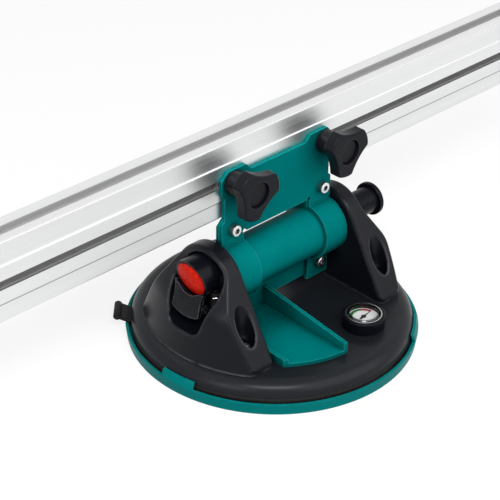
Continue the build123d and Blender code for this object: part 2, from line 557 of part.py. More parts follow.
def release_pieces():
    """Release valve in the left-hand tower: hood, push button, thumb lever and hose."""
    mouth = mouth_plane()
    pin_x = -LEVER_PIN_X
    pin_z = AXIS_Z - LEVER_PIN_DROP
    pin_radius = LEVER_PIN_DIAMETER / 2
    housing = rod_x(-TUBE_END, -TUBE_END + SPIGOT_LENGTH, TUBE_BORE - SEAT_CLEARANCE, 0, AXIS_Z)
    housing += rod_x(-TUBE_END - VALVE_COLLAR, -TUBE_END, VALVE_COLLAR_DIAMETER / 2, 0, AXIS_Z)
    housing += valve_hood(0)
    lug = block((pin_x - LUG_RADIUS, pin_x + LUG_RADIUS), (-LUG_WIDTH / 2, LUG_WIDTH / 2), (pin_z, AXIS_Z))
    lug += rod_y(-LUG_WIDTH / 2, LUG_WIDTH / 2, LUG_RADIUS, pin_x, pin_z)
    housing += lug
    housing -= rod_y(-LUG_WIDTH / 2, LUG_WIDTH / 2, pin_radius + RUNNING_CLEARANCE, pin_x, pin_z)
    hose_room = CLIP_RADIUS + SLIDE_CLEARANCE
    housing -= rod_z(HOSE_TOP - HOSE_BARB, HOSE_TOP + SEAT_CLEARANCE, hose_room, -HOSE_X, HOSE_Y)
    housing += rod_z(HOSE_TOP - HOSE_BARB, AXIS_Z, HOSE_BORE / 2 - SEAT_CLEARANCE, -HOSE_X, HOSE_Y)
    button_z = AXIS_Z + VALVE_OFFSET
    button_back = -TUBE_END - VALVE_REACH + BUTTON_SKIRT + VALVE_COLLAR
    well_back = button_back + BUTTON_TRAVEL + SLIDE_CLEARANCE
    button_far = -TUBE_END - 2 * VALVE_REACH
    housing -= rod_x(button_far, well_back, BUTTON_DIAMETER / 2 + SLIDE_CLEARANCE, 0, button_z)
    pocket_end = button_back + BUTTON_SPRING_LENGTH
    housing -= rod_x(well_back, pocket_end, BUTTON_SPRING_DIAMETER / 2 + SLIDE_CLEARANCE, 0, button_z)
    spring_length = BUTTON_SPRING_LENGTH - 2 * SEAT_CLEARANCE
    spring = coil(spring_length, BUTTON_SPRING_DIAMETER, BUTTON_SPRING_WIRE, BUTTON_SPRING_TURNS)
    spring = Pos(button_back + SEAT_CLEARANCE, 0, button_z) * Rot(0, 90, 0) * spring
    radius = BUTTON_DIAMETER / 2
    crown_radius = (radius**2 + BUTTON_DOME**2) / (2 * BUTTON_DOME)
    crown = mouth.offset(BUTTON_PROUD + BUTTON_DOME - crown_radius) * Sphere(crown_radius)
    button = rod_x(button_far, button_back, radius, 0, button_z) & crown
    lever_tilt = math.radians(LEVER_TILT)
    half = LEVER_WIDTH / 2
    horn = LEVER_LIP_WIDTH / 2
    lip_x = -TUBE_END - VALVE_REACH + LEVER_LIP_DROP * math.tan(math.radians(VALVE_TILT))
    face_at = (lip_x - LEVER_PROUD, 0, button_z - LEVER_LIP_DROP)
    face = Plane(face_at, x_dir=(0, 1, 0), z_dir=(-math.cos(lever_tilt), 0, math.sin(lever_tilt)))
    shoulder = LEVER_DROP - LEVER_SWELL
    outline = ThreePointArc((-horn, -LEVER_LIP_RISE), (0, 0), (horn, -LEVER_LIP_RISE))
    outline += Line((horn, -LEVER_LIP_RISE), (half, shoulder))
    outline += ThreePointArc((half, shoulder), (0, LEVER_DROP), (-half, shoulder))
    outline += Line((-half, shoulder), (-horn, -LEVER_LIP_RISE))
    shield = make_face(outline)
    shield = fillet(shield.vertices(), LEVER_CORNER)
    tongue = extrude(face * shield, -LEVER_THICKNESS)
    front = tongue.edges().filter_by(lambda edge: abs(face.to_local_coords(edge.center()).Z) < LEVER_ROUND)
    tongue = fillet(front, LEVER_ROUND)
    low = face.from_local_coords((0, shoulder, -LEVER_THICKNESS / 2))
    high = face.from_local_coords((0, LEVER_THICKNESS / 2, -LEVER_THICKNESS / 2))
    side = Polygon(
        (pin_x, pin_z - LUG_RADIUS),
        (pin_x, pin_z + LUG_RADIUS),
        (high.X, high.Z),
        (low.X, low.Z),
        align=None,
    )
    inner_y = LUG_WIDTH / 2 + LEVER_TRAVEL_GAP
    outer_y = inner_y + LEVER_ARM
    lever = tongue
    for end in (-1, 1):
        near, far = sorted((end * inner_y, end * outer_y))
        arm = extrude(Plane((0, far, 0), x_dir=(1, 0, 0), z_dir=(0, -1, 0)) * side, LEVER_ARM)
        lever += arm + rod_y(near, far, LUG_RADIUS, pin_x, pin_z)
    lever -= valve_hood(LEVER_GAP)
    lever -= rod_y(-outer_y, outer_y, pin_radius + RUNNING_CLEARANCE, pin_x, pin_z)
    pin = rod_y(-outer_y, outer_y, pin_radius, pin_x, pin_z)
    hose_bottom = BASE_TOP - BASE_THICKNESS / 2
    hose = rod_z(hose_bottom, HOSE_TOP, HOSE_DIAMETER / 2, -HOSE_X, HOSE_Y)
    hose -= rod_z(hose_bottom, HOSE_TOP, HOSE_BORE / 2, -HOSE_X, HOSE_Y)
    clip_ring = Torus(CLIP_RADIUS - HOSE_CLIP_WIRE / 2, HOSE_CLIP_WIRE / 2)
    clip = Pos(-HOSE_X, HOSE_Y, HOSE_TOP - HOSE_CLIP_DROP) * clip_ring
    return {
        "valve_housing": housing,
        "release_button": button,
        "button_spring": spring,
        "release_lever": lever,
        "lever_pin": pin,
        "vacuum_hose": hose,
        "hose_clip": clip,
    }


def gauge_pieces():
    well = GAUGE_WELL_DIAMETER / 2
    well_floor = GAUGE_TOP - GAUGE_WELL_DEPTH
    case = rod_z(BASE_TOP, GAUGE_TOP, GAUGE_DIAMETER / 2, GAUGE_X, GAUGE_Y)
    case = fillet(case.edges().group_by(Axis.Z)[-1], (GAUGE_DIAMETER - GAUGE_WELL_DIAMETER) / 4)
    case -= rod_z(well_floor, GAUGE_TOP, well, GAUGE_X, GAUGE_Y)
    pivot_hole = PIVOT_DIAMETER / 2 + SEAT_CLEARANCE
    case -= rod_z(BASE_TOP + DIAL_THICKNESS, well_floor, pivot_hole, GAUGE_X, GAUGE_Y)
    outer = well - SEAT_CLEARANCE
    inner = outer - BEZEL_WIDTH
    bezel = rod_z(GAUGE_TOP - BEZEL_HEIGHT, GAUGE_TOP, outer, GAUGE_X, GAUGE_Y)
    bezel -= rod_z(GAUGE_TOP - BEZEL_HEIGHT, GAUGE_TOP, inner, GAUGE_X, GAUGE_Y)
    dial = rod_z(well_floor, DIAL_TOP, outer, GAUGE_X, GAUGE_Y)
    dial -= rod_z(well_floor, DIAL_TOP, pivot_hole, GAUGE_X, GAUGE_Y)
    lens_bottom = GAUGE_TOP - BEZEL_HEIGHT + LENS_THICKNESS / 2
    lens = rod_z(lens_bottom, lens_bottom + LENS_THICKNESS, inner - SEAT_CLEARANCE / 2, GAUGE_X, GAUGE_Y)
    needle_low = DIAL_TOP + SLIDE_CLEARANCE
    half = NEEDLE_HUB_DIAMETER / 4
    blade = Polygon((-NEEDLE_TAIL, half), (-NEEDLE_TAIL, -half), (NEEDLE_LENGTH, 0), align=None)
    needle = extrude(blade, NEEDLE_THICKNESS) + rod_z(0, NEEDLE_THICKNESS, NEEDLE_HUB_DIAMETER / 2)
    needle += rod_z(BASE_TOP + DIAL_THICKNESS + SLIDE_CLEARANCE - needle_low, 0, PIVOT_DIAMETER / 2)
    needle = Pos(GAUGE_X, GAUGE_Y, needle_low) * Rot(0, 0, NEEDLE_BEARING) * needle
    return {
        "gauge_case": case,
        "gauge_bezel": bezel,
        "gauge_dial": dial,
        "gauge_needle": needle,
        "gauge_lens": lens,
    }


def clamp_screw_places():
    return [(x, z) for x in (-CLAMP_SCREW_X, CLAMP_SCREW_X) for z in CLAMP_SCREW_Z]


def drill_clamp(plate, low, high):
    """Cut the tube seat and the clamp screw holes through a plate."""
    plate -= rod_x(-PLATE_WIDTH, PLATE_WIDTH, TUBE_RADIUS + SEAT_CLEARANCE / 2, 0, AXIS_Z)
    for x, z in clamp_screw_places():
        plate -= rod_y(low, high, CLAMP_SCREW_DIAMETER / 2 + SEAT_CLEARANCE, x, z)
    return plate


def half_straps(low, high):
    """Half bands round the tube at both ends of the plates, between two Y values."""
    straps = []
    for x in (-PLATE_WIDTH / 2, STRAP_IN):
        band = rod_x(x, x + STRAP_WIDTH, STRAP_RADIUS, 0, AXIS_Z)
        reach = (AXIS_Z - STRAP_RADIUS, AXIS_Z + STRAP_RADIUS)
        straps.append(band & block((x, x + STRAP_WIDTH), (low, high), reach))
    return straps


def front_plate():
    """Sheet plate that clamps the rail, with half straps over the front of the tube."""
    side = PLATE_WIDTH / 2
    waist = side - WAIST_STEP
    waist_low = SLOT_Z - WAIST_DROP
    ear = EAR_WIDTH / 2
    ear_top = SLOT_Z + EAR_RISE
    ear_low = SLOT_Z - EAR_DROP
    notch_z = AXIS_Z + TUBE_RADIUS + NOTCH_RISE
    ear_in = ear - EAR_LENGTH
    half = Polygon(
        (0, notch_z),
        (STRAP_IN, notch_z),
        (STRAP_IN, PLATE_BOTTOM),
        (side, PLATE_BOTTOM),
        (side, waist_low - (side - waist)),
        (waist, waist_low),
        (waist, ear_low - (ear - waist)),
        (ear, ear_low),
        (ear, ear_top - EAR_CHAMFER),
        (ear - EAR_CHAMFER, ear_top),
        (ear_in, ear_top),
        (ear_in - EAR_STEP, ear_top - EAR_STEP),
        (0, ear_top - EAR_STEP),
        align=None,
    )
    plate = extrude(Plane.XZ * (half + mirror(half, Plane.YZ)), SHEET)
    for strap in half_straps(-STRAP_RADIUS, 0):
        plate += strap
    plate = drill_clamp(plate, -STRAP_RADIUS, 0)
    for end in (-1, 1):
        plate -= rod_y(-SHEET, 0, NOTCH_RELIEF, end * (STRAP_IN - NOTCH_RELIEF / 2), notch_z)
    for x in (KNOB_LEFT_X, KNOB_RIGHT_X):
        plate -= rod_y(-SHEET, 0, STUD_DIAMETER / 2 + SLIDE_CLEARANCE, x, SLOT_Z)
    return plate


def back_plate():
    """Sheet plate behind the tube, bent forward below into a tray that stands on the base."""
    side = PLATE_WIDTH / 2
    tab_top = RAIL_BOTTOM - SLIDE_CLEARANCE
    flange_bottom = PLATE_BOTTOM + BACK_LUG_DROP
    tab = Polygon(
        (STRAP_IN, PLATE_BOTTOM + BACK_LUG_DROP),
        (side, PLATE_BOTTOM + BACK_LUG_DROP),
        (side, tab_top - BACK_TAB_CHAMFER),
        (side - BACK_TAB_CHAMFER, tab_top),
        (STRAP_IN, tab_top),
        align=None,
    )
    plate = extrude(Plane.XZ * (tab + mirror(tab, Plane.YZ)), -SHEET)
    for strap in half_straps(0, STRAP_RADIUS):
        plate += strap
    plate += block((-side, side), (0, SHEET), (flange_bottom, AXIS_Z - TUBE_RADIUS + SHEET))
    floor_top = BASE_TOP + SHEET
    plate += block((TRAY_LEFT, TRAY_RIGHT), (0, SHEET), (BASE_TOP, flange_bottom))
    reach = block((TRAY_LEFT, TRAY_RIGHT), (-TRAY_RADIUS, SHEET), (BASE_TOP, AXIS_Z))
    front = rod_z(BASE_TOP, AXIS_Z, TRAY_RADIUS)
    tray = block((TRAY_LEFT, TRAY_RIGHT), (-TRAY_RADIUS, SHEET), (BASE_TOP, floor_top))
    tray += block((TRAY_LEFT, TRAY_LEFT + SHEET), (-TRAY_RADIUS, SHEET), (BASE_TOP, floor_top + TRAY_LIP))
    rib = Polygon(
        (SHEET, BASE_TOP),
        (SHEET, BASE_TOP + TRAY_RIB_BACK),
        (-TRAY_RADIUS, BASE_TOP + TRAY_RIB_FRONT),
        (-TRAY_RADIUS, BASE_TOP),
        align=None,
    )
    tray += Pos(TRAY_RIGHT - SHEET, 0, 0) * extrude(Plane.YZ * rib, SHEET)
    plate += tray & reach & front
    return drill_clamp(plate, 0, STRAP_RADIUS)


def clamp_fasteners():
    nut_back = SHEET + CLAMP_NUT_HEIGHT
    screw = socket_screw(
        CLAMP_SCREW_DIAMETER,
        SHEET + nut_back + CLAMP_SCREW_PROUD,
        CLAMP_SCREW_HEAD,
        CLAMP_SCREW_HEAD_HEIGHT,
        CLAMP_SCREW_SOCKET,
    )
    nut = extrude(RegularPolygon(CLAMP_NUT_WIDTH / 2, HEX_SIDES, major_radius=False), CLAMP_NUT_HEIGHT)
    nut -= rod_z(0, CLAMP_NUT_HEIGHT, CLAMP_SCREW_DIAMETER / 2 + SEAT_CLEARANCE)
    screws = [Pos(x, -SHEET, z) * Rot(90, 0, 0) * screw for x, z in clamp_screw_places()]
    nuts = [Pos(x, nut_back, z) * Rot(90, 0, 0) * nut for x, z in clamp_screw_places()]
    return {"clamp_screws": screws, "clamp_nuts": nuts}


def rail_profile():
    """Extruded aluminium rail with a T-slot in front, behind and on top."""
    plain = (RAIL_FRONT + RAIL_BAND_PROUD, RAIL_BACK - RAIL_BAND_PROUD)
    channel = SLOT_CHANNEL_WIDTH / 2
    length = (-RAIL_LENGTH / 2, RAIL_LENGTH / 2)
    body = block(length, plain, (RAIL_BOTTOM, RAIL_TOP))
    body = fillet(body.edges().filter_by(Axis.X), RAIL_CORNER)
    body += block(length, (RAIL_FRONT, RAIL_BACK), (SLOT_Z - RAIL_BAND / 2, SLOT_Z + RAIL_BAND / 2))
    neck = (SLOT_Z - SIDE_SLOT_WIDTH / 2, SLOT_Z + SIDE_SLOT_WIDTH / 2)
    tee = (SLOT_Z - channel, SLOT_Z + channel)
    body -= block(length, (RAIL_FRONT, RAIL_FRONT + SLOT_LIP), neck)
    body -= block(length, (RAIL_FRONT + SLOT_LIP, RAIL_FRONT + SLOT_FLOOR), tee)
    body -= block(length, (RAIL_BACK - SLOT_LIP, RAIL_BACK), neck)
    body -= block(length, (RAIL_BACK - SLOT_FLOOR, RAIL_BACK - SLOT_LIP), tee)
    top_y = RAIL_FRONT + TOP_SLOT_OFFSET
    top_neck = (top_y - TOP_SLOT_WIDTH / 2, top_y + TOP_SLOT_WIDTH / 2)
    body -= block(length, top_neck, (RAIL_TOP - SLOT_LIP, RAIL_TOP))
    body -= block(length, (top_y - channel, top_y + channel), (RAIL_TOP - SLOT_FLOOR, RAIL_TOP - SLOT_LIP))
    inside = (plain[0] + RAIL_WALL, plain[1] - RAIL_WALL)
    body -= block(length, inside, (RAIL_BOTTOM + RAIL_WALL, tee[0] - RAIL_WALL))
    body -= block(length, inside, (tee[1] + RAIL_WALL, RAIL_TOP - SLOT_FLOOR - RAIL_WALL))
    core = (RAIL_FRONT + SLOT_FLOOR + RAIL_WALL, RAIL_BACK - SLOT_FLOOR - RAIL_WALL)
    body -= block(length, core, tee)
    return body


def knob_outline(turn):
    """Lobes with hollow flanks between them, turned about the stud."""
    outline = Curve()
    spacing = 360 / KNOB_LOBES
    for index in range(KNOB_LOBES):
        middle = turn + index * spacing
        left = Vector(KNOB_LOBE_RADIUS, 0).rotate(Axis.Z, middle - KNOB_LOBE_ANGLE)
        tip = Vector(KNOB_LOBE_RADIUS, 0).rotate(Axis.Z, middle)
        right = Vector(KNOB_LOBE_RADIUS, 0).rotate(Axis.Z, middle + KNOB_LOBE_ANGLE)
        waist = Vector(KNOB_WAIST_RADIUS, 0).rotate(Axis.Z, middle + spacing / 2)
        following = Vector(KNOB_LOBE_RADIUS, 0).rotate(Axis.Z, middle + spacing - KNOB_LOBE_ANGLE)
        outline += ThreePointArc(left, tip, right)
        outline += ThreePointArc(right, waist, following)
    return make_face(outline)


def knob_pieces(x, turn):
    """Tri-lobe clamp knob with its moulded-in stud, front cap and slot nut."""
    at = Plane((x, KNOB_SHOULDER, SLOT_Z), x_dir=(1, 0, 0), z_dir=(0, -1, 0))
    cap_radius = KNOB_CAP_DIAMETER / 2
    cap_back = KNOB_FRONT + KNOB_CAP_RECESS + KNOB_CAP_THICKNESS
    body = extrude(at * knob_outline(turn), KNOB_DEPTH)
    upright = body.edges().filter_by(Axis.Y)
    body = fillet(upright, KNOB_LOBE_ROUND)
    rims = body.edges().filter_by(lambda edge: abs(edge.center().Y - KNOB_FRONT) < SEAT_CLEARANCE)
    body = fillet(rims, KNOB_ROUND)
    body += rod_y(KNOB_SHOULDER, KNOB_BACK, KNOB_HUB_DIAMETER / 2, x, SLOT_Z)
    body -= rod_y(KNOB_FRONT, cap_back, cap_radius + SEAT_CLEARANCE, x, SLOT_Z)
    stud_front = (KNOB_SHOULDER + cap_back) / 2
    body -= rod_y(stud_front, KNOB_BACK, STUD_DIAMETER / 2 + SEAT_CLEARANCE / 2, x, SLOT_Z)
    cap = rod_y(KNOB_FRONT + KNOB_CAP_RECESS, cap_back, cap_radius, x, SLOT_Z)
    nut_front = RAIL_FRONT + SLOT_LIP + SEAT_CLEARANCE
    nut_back = nut_front + SLOT_NUT_THICKNESS
    stud = rod_y(stud_front, nut_back, STUD_DIAMETER / 2, x, SLOT_Z)
    nut_half = SLOT_CHANNEL_WIDTH / 2 - SLIDE_CLEARANCE
    nut_x = (x - SLOT_NUT_LENGTH / 2, x + SLOT_NUT_LENGTH / 2)
    nut = block(nut_x, (nut_front, nut_back), (SLOT_Z - nut_half, SLOT_Z + nut_half))
    nut -= rod_y(nut_front, nut_back, STUD_DIAMETER / 2 + RUNNING_CLEARANCE, x, SLOT_Z)
    return {"body": body, "cap": cap, "stud": stud, "nut": nut}


def assembly():
    pieces = {
        "pad_cover": pad_cover(),
        "rubber_pad": rubber_pad(),
        "base_body": base_body(),
        "tower_screws": tower_screws(),
        "handle_tube": handle_tube(),
        "front_plate": front_plate(),
        "back_plate": back_plate(),
        "rail_profile": rail_profile(),
    }
    pieces.update(towers())
    pieces.update(pump_pieces())
    pieces.update(release_pieces())
    pieces.update(gauge_pieces())
    pieces.update(clamp_fasteners())
    knobs = {"left": (KNOB_LEFT_X, KNOB_LEFT_TURN), "right": (KNOB_RIGHT_X, KNOB_RIGHT_TURN)}
    for name, (x, turn) in knobs.items():
        for piece, solid in knob_pieces(x, turn).items():
            pieces[f"knob_{name}_{piece}"] = solid
    return pieces


os.makedirs("parts", exist_ok=True)
for node, shape in assembly().items():
    group = Compound(shape) if isinstance(shape, list) else shape
    export_step(group, f"parts/{node}.step")
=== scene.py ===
# %% [markdown]
# # A tile carrying frame, dressed in Blender
# The object is a length of slotted aluminium rail, clamped to a hand-pumped vacuum cup. The solids
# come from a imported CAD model, which stays where it is. This lesson adds what the solids lack: a
# camera, light, a finish for every piece, and a few pieces that are easier to shape in Blender.

import json
import math

import bmesh
import bpy
from mathutils import Matrix, Vector


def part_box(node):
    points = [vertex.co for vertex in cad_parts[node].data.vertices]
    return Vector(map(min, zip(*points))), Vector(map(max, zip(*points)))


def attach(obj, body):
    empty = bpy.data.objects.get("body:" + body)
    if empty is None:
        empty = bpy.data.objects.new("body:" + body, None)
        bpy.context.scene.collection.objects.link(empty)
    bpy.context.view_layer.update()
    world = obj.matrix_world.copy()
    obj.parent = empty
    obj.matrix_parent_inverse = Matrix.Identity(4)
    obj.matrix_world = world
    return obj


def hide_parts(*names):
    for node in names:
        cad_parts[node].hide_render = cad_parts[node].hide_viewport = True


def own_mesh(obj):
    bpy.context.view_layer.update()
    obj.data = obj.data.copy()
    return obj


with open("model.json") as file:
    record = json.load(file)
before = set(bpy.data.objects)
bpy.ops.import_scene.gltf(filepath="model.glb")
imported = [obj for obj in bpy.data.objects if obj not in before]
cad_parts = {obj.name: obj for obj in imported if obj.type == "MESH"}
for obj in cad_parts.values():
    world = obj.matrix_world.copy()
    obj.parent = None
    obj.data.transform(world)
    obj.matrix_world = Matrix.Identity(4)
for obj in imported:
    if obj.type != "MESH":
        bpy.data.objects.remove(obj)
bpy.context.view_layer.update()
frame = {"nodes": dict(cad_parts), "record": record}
nodes = frame["nodes"]

# %% [markdown]
# ## The camera
# The view looks down on the cup from the front left, through a long lens, so the rail hardly narrows
# towards the back. The angles and the distance were found by fitting a camera to known edges. A camera
# looks along its own -Z axis, so its matrix is built from the three directions right, up and back.

# %% Camera
SENSOR = 36.0
PICTURE = 500.0
FOCAL_PIXELS = 1626.46
AZIMUTH = math.radians(-44.59)
ELEVATION = math.radians(31.98)
ROLL = math.radians(0.91)
CAMERA_OFFSET = Vector((0.01602, -0.05651, -1.20664))


def camera_axes(azimuth, elevation, roll):
    """Right, up and back of a camera that looks at the object from that direction."""
    right = Vector((math.cos(azimuth), math.sin(azimuth), 0))
    lean = math.sin(elevation)
    up = Vector((-lean * math.sin(azimuth), lean * math.cos(azimuth), math.cos(elevation)))
    turned_right = right * math.cos(roll) + up * math.sin(roll)
    turned_up = up * math.cos(roll) - right * math.sin(roll)
    return turned_right, turned_up, turned_right.cross(turned_up)


axes = Matrix(camera_axes(AZIMUTH, ELEVATION, ROLL)).transposed()
camera_data = bpy.data.cameras.new("camera")
camera_data.sensor_width = SENSOR
camera_data.lens = FOCAL_PIXELS / PICTURE * SENSOR
camera = bpy.data.objects.new("camera", camera_data)
camera.matrix_world = Matrix.Translation(-(axes @ CAMERA_OFFSET)) @ axes.to_4x4()
bpy.context.collection.objects.link(camera)
bpy.context.scene.camera = camera
bpy.context.scene.view_settings.view_transform = "Standard"
print("camera at", [round(value, 3) for value in camera.matrix_world.translation])

# %% [markdown]
# ## Shader maths as Python
# A finish is a graph of nodes, and a graph is easier to read as a formula. `Value` wraps an output
# socket and turns +, -, * and the rest into Math nodes. Every other node comes from `Graph.node`,
# which sets a node's settings first and then fills or links its inputs.

# %% Values that add and multiply


class Value:
    """An output socket that takes part in Python arithmetic."""

    def __init__(self, graph, socket):
        self.graph = graph
        self.socket = socket

    def __add__(self, other):
        return self.graph.math("ADD", self, other)

    def __radd__(self, other):
        return self.graph.math("ADD", other, self)

    def __sub__(self, other):
        return self.graph.math("SUBTRACT", self, other)

    def __rsub__(self, other):
        return self.graph.math("SUBTRACT", other, self)

    def __mul__(self, other):
        return self.graph.math("MULTIPLY", self, other)

    def __rmul__(self, other):
        return self.graph.math("MULTIPLY", other, self)

    def __pow__(self, other):
        return self.graph.math("POWER", self, other)

    def __abs__(self):
        return self.graph.math("ABSOLUTE", self)

    def between(self, low, high):
        """0 below low, 1 above high, and a smooth rise in between."""
        settings = {"interpolation_type": "SMOOTHSTEP"}
        sockets = {"Value": self, "From Min": low, "From Max": high}
        return self.graph.node("ShaderNodeMapRange", settings, sockets)


def inside(value, low, high, soft):
    """1 from low to high, with soft ends."""
    return value.between(low - soft, low + soft) * (1 - value.between(high - soft, high + soft))


def grey(level):
    return (level, level, level, 1.0)


print("values ready")

# %% [markdown]
# The graph also knows where edges are rubbed pale, as wear and as painted highlight, and where painted
# shade gathers in corners and gaps. A Bevel node rounds the normal near an edge, so the difference from
# the true normal marks edges. Ambient occlusion marks corners and gaps. Both work on any mesh, with no
# painting by hand.

# %% Graphs of nodes


class Graph:
    """The node tree of one material, or of the world, with its main shader."""

    EDGE_TURN = (0.02, 0.25)
    OPEN_SHARE = (0.25, 0.85)
    SEEN_RAYS = ("Is Camera Ray", "Is Glossy Ray", "Is Transmission Ray")
    MIX_FIRST, MIX_SECOND, MIX_RESULT = 6, 7, 2

    def __init__(self, name, tree=None, shader="Principled BSDF"):
        self.material = None
        if tree is None:
            self.material = bpy.data.materials.new(name)
            self.material.use_nodes = True
            tree = self.material.node_tree
        self.tree = tree
        self.shader = tree.nodes[shader]
        self.place = self.node("ShaderNodeTexCoord", {}, {}, "Object")

    def put(self, socket, value):
        """Links a value to a socket, or sets a plain number or colour on it."""
        if isinstance(value, Value):
            self.tree.links.new(value.socket, socket)
        else:
            socket.default_value = value

    def node(self, kind, settings, sockets, output=0):
        """Adds a node, and gives one of its outputs as a value."""
        made = self.tree.nodes.new(kind)
        for name, setting in settings.items():
            setattr(made, name, setting)
        for name, value in sockets.items():
            self.put(made.inputs[name], value)
        return Value(self, made.outputs[output])

    def math(self, operation, first, second=0.0):
        return self.node("ShaderNodeMath", {"operation": operation}, {0: first, 1: second})

    def noise(self, scale, detail=3.0, rough=0.55, place=None):
        sockets = {"Vector": place or self.place, "Scale": scale, "Detail": detail, "Roughness": rough}
        return self.node("ShaderNodeTexNoise", {}, sockets)

    def stretched(self, factors):
        """Object coordinates, stretched by a factor along each axis."""
        return self.node("ShaderNodeMapping", {}, {"Vector": self.place, "Scale": factors})

    def mix(self, factor, first, second):
        """One colour turning into another. A Mix node's colour sockets are found by their numbers."""
        settings = {"data_type": "RGBA"}
        sockets = {"Factor": factor, self.MIX_FIRST: first, self.MIX_SECOND: second}
        return self.node("ShaderNodeMix", settings, sockets, self.MIX_RESULT)

    def axis(self, name):
        return self.node("ShaderNodeSeparateXYZ", {}, {"Vector": self.place}, name)

    def normal(self):
        return self.node("ShaderNodeNewGeometry", {}, {}, "Normal")

    def edges(self, radius):
        """1 along sharp edges and 0 on flat faces, from how far a rounded normal leaves the true one."""
        rounded = self.node("ShaderNodeBevel", {"samples": 4}, {"Radius": radius})
        settings = {"operation": "DOT_PRODUCT"}
        alike = self.node("ShaderNodeVectorMath", settings, {0: rounded, 1: self.normal()}, "Value")
        return (1 - alike).between(*self.EDGE_TURN)

    def wear_and_highlight(self, radius, patches, spread):
        """Edges rubbed pale in patches, as wear and as painted highlight. The patches are a noise's
        scale, and the spread its fading levels.
        """
        return self.edges(radius) * self.noise(patches, detail=4.0).between(*spread)

    def crevice(self, reach):
        """1 deep in a corner or gap and 0 on open faces."""
        settings = {"samples": 8}
        open_share = self.node("ShaderNodeAmbientOcclusion", settings, {"Distance": reach}, "AO")
        return 1 - open_share.between(*self.OPEN_SHARE)

    def upward(self):
        """1 on faces that look up, 0 on upright ones and -1 on those that look down."""
        return self.node("ShaderNodeSeparateXYZ", {}, {"Vector": self.normal()}, "Z")

    def seen(self):
        """1 for what the camera sees, also in a mirror or glass, and 0 for light on the object."""
        camera_ray, glossy, clear = [
            self.node("ShaderNodeLightPath", {}, {}, ray) for ray in self.SEEN_RAYS
        ]
        return self.math("MAXIMUM", self.math("MAXIMUM", camera_ray, glossy), clear)

    def bump(self, height, strength, distance):
        sockets = {"Height": height, "Strength": strength, "Distance": distance}
        return self.node("ShaderNodeBump", {}, sockets)

    def finish(self, **sockets):
        """Fills the main shader's sockets and gives the material."""
        for name, value in sockets.items():
            self.put(self.shader.inputs[name.replace("_", " ")], value)
        return self.material


print("graph ready")

# %% [markdown]
# ## Light and background
# The object stands in a white studio. A soft lamp above the camera draws the thin bright lines along
# the black ridges and the broad shine on the shoulder. A wider one fills the front, a third reaches the
# red button from the left, and a fourth lights the top of the rail from behind. The world is plain grey
# as a light, and white for the camera and in mirrors and glass, so the background is white without more
# light falling on the object. The floor glows for the camera in the same way, and keeps the shadow.

# %% Lamps, world and floor
AIM = Vector((0.0, 0.0, 0.06))
WORLD_LIGHT, WORLD_SEEN = grey(0.21), grey(1.0)
FLOOR_SIZE = 12.0
FLOOR_SHADE = grey(0.25)
FLOOR_GLOW = grey(0.80)


def soft_lamp(name, place, size, watts):
    """A rectangular lamp that faces the object."""
    data = bpy.data.lights.new(name, "AREA")
    data.shape = "RECTANGLE"
    data.size, data.size_y = size
    data.energy = watts
    lamp = bpy.data.objects.new(name, data)
    facing = (AIM - Vector(place)).to_track_quat("-Z", "Y")
    lamp.matrix_world = Matrix.Translation(place) @ facing.to_matrix().to_4x4()
    bpy.context.collection.objects.link(lamp)
    return lamp


lamps = [
    soft_lamp("lamp_key", place=(-0.84, -0.90, 1.36), size=(0.8, 0.22), watts=16),
    soft_lamp("lamp_front", place=(0.30, -1.40, 1.10), size=(2.4, 1.7), watts=22),
    soft_lamp("lamp_left", place=(-1.60, -0.35, 0.65), size=(0.8, 0.8), watts=7),
    soft_lamp("lamp_behind", place=(-0.55, 0.70, 1.30), size=(1.2, 0.9), watts=2),
]

world = bpy.data.worlds.new("studio")
world.use_nodes = True
bpy.context.scene.world = world
studio = Graph("studio", world.node_tree, "Background")
studio.finish(Color=studio.mix(studio.seen(), WORLD_LIGHT, WORLD_SEEN))

floor_mesh = bmesh.new()
bmesh.ops.create_grid(floor_mesh, x_segments=1, y_segments=1, size=FLOOR_SIZE / 2)
floor_data = bpy.data.meshes.new("floor")
floor_mesh.to_mesh(floor_data)
floor_mesh.free()
floor = bpy.data.objects.new("floor", floor_data)
bpy.context.collection.objects.link(floor)
paper = Graph("floor_paper")
floor_data.materials.append(
    paper.finish(
        Base_Color=FLOOR_SHADE,
        Roughness=1.0,
        Specular_IOR_Level=0.0,
        Emission_Color=paper.mix(paper.seen(), grey(0.0), FLOOR_GLOW),
        Emission_Strength=1.0,
    )
)
print("lamps:", len(lamps))

# %% [markdown]
# ## Teal powder coat
# The tube and the clamp plates are steel with a baked coat: an even colour under a satin skin, with
# the faint orange peel that powder leaves as it flows. Edges are rubbed lighter, as wear and as painted
# highlight. The upward faces of the plates' tops are painted lighter, as light from above. Undersides,
# corners and gaps are painted darker, as shade.

# %% Teal powder coat
TEAL_DEEP, TEAL_CLEAR = (0.0, 0.165, 0.164, 1), (0.0, 0.186, 0.185, 1)
TEAL_TOP_LIGHT = (0.0, 0.225, 0.222, 1)
TEAL_WORN_HIGHLIGHT = (0.04, 0.40, 0.39, 1)
TEAL_PAINTED_SHADE = (0.0, 0.03, 0.03, 1)
TEAL_GAP_SHADE = (0.0, 0.02, 0.02, 1)
PLATE_TOP_LIGHT_LEVEL = (0.100, 0.110)
TOP_LIGHT_SLOPE, UNDERSIDE_SHADE_SLOPE = (0.5, 0.9), (-0.8, 0.05)
CLOUDS = (0.35, 0.65)


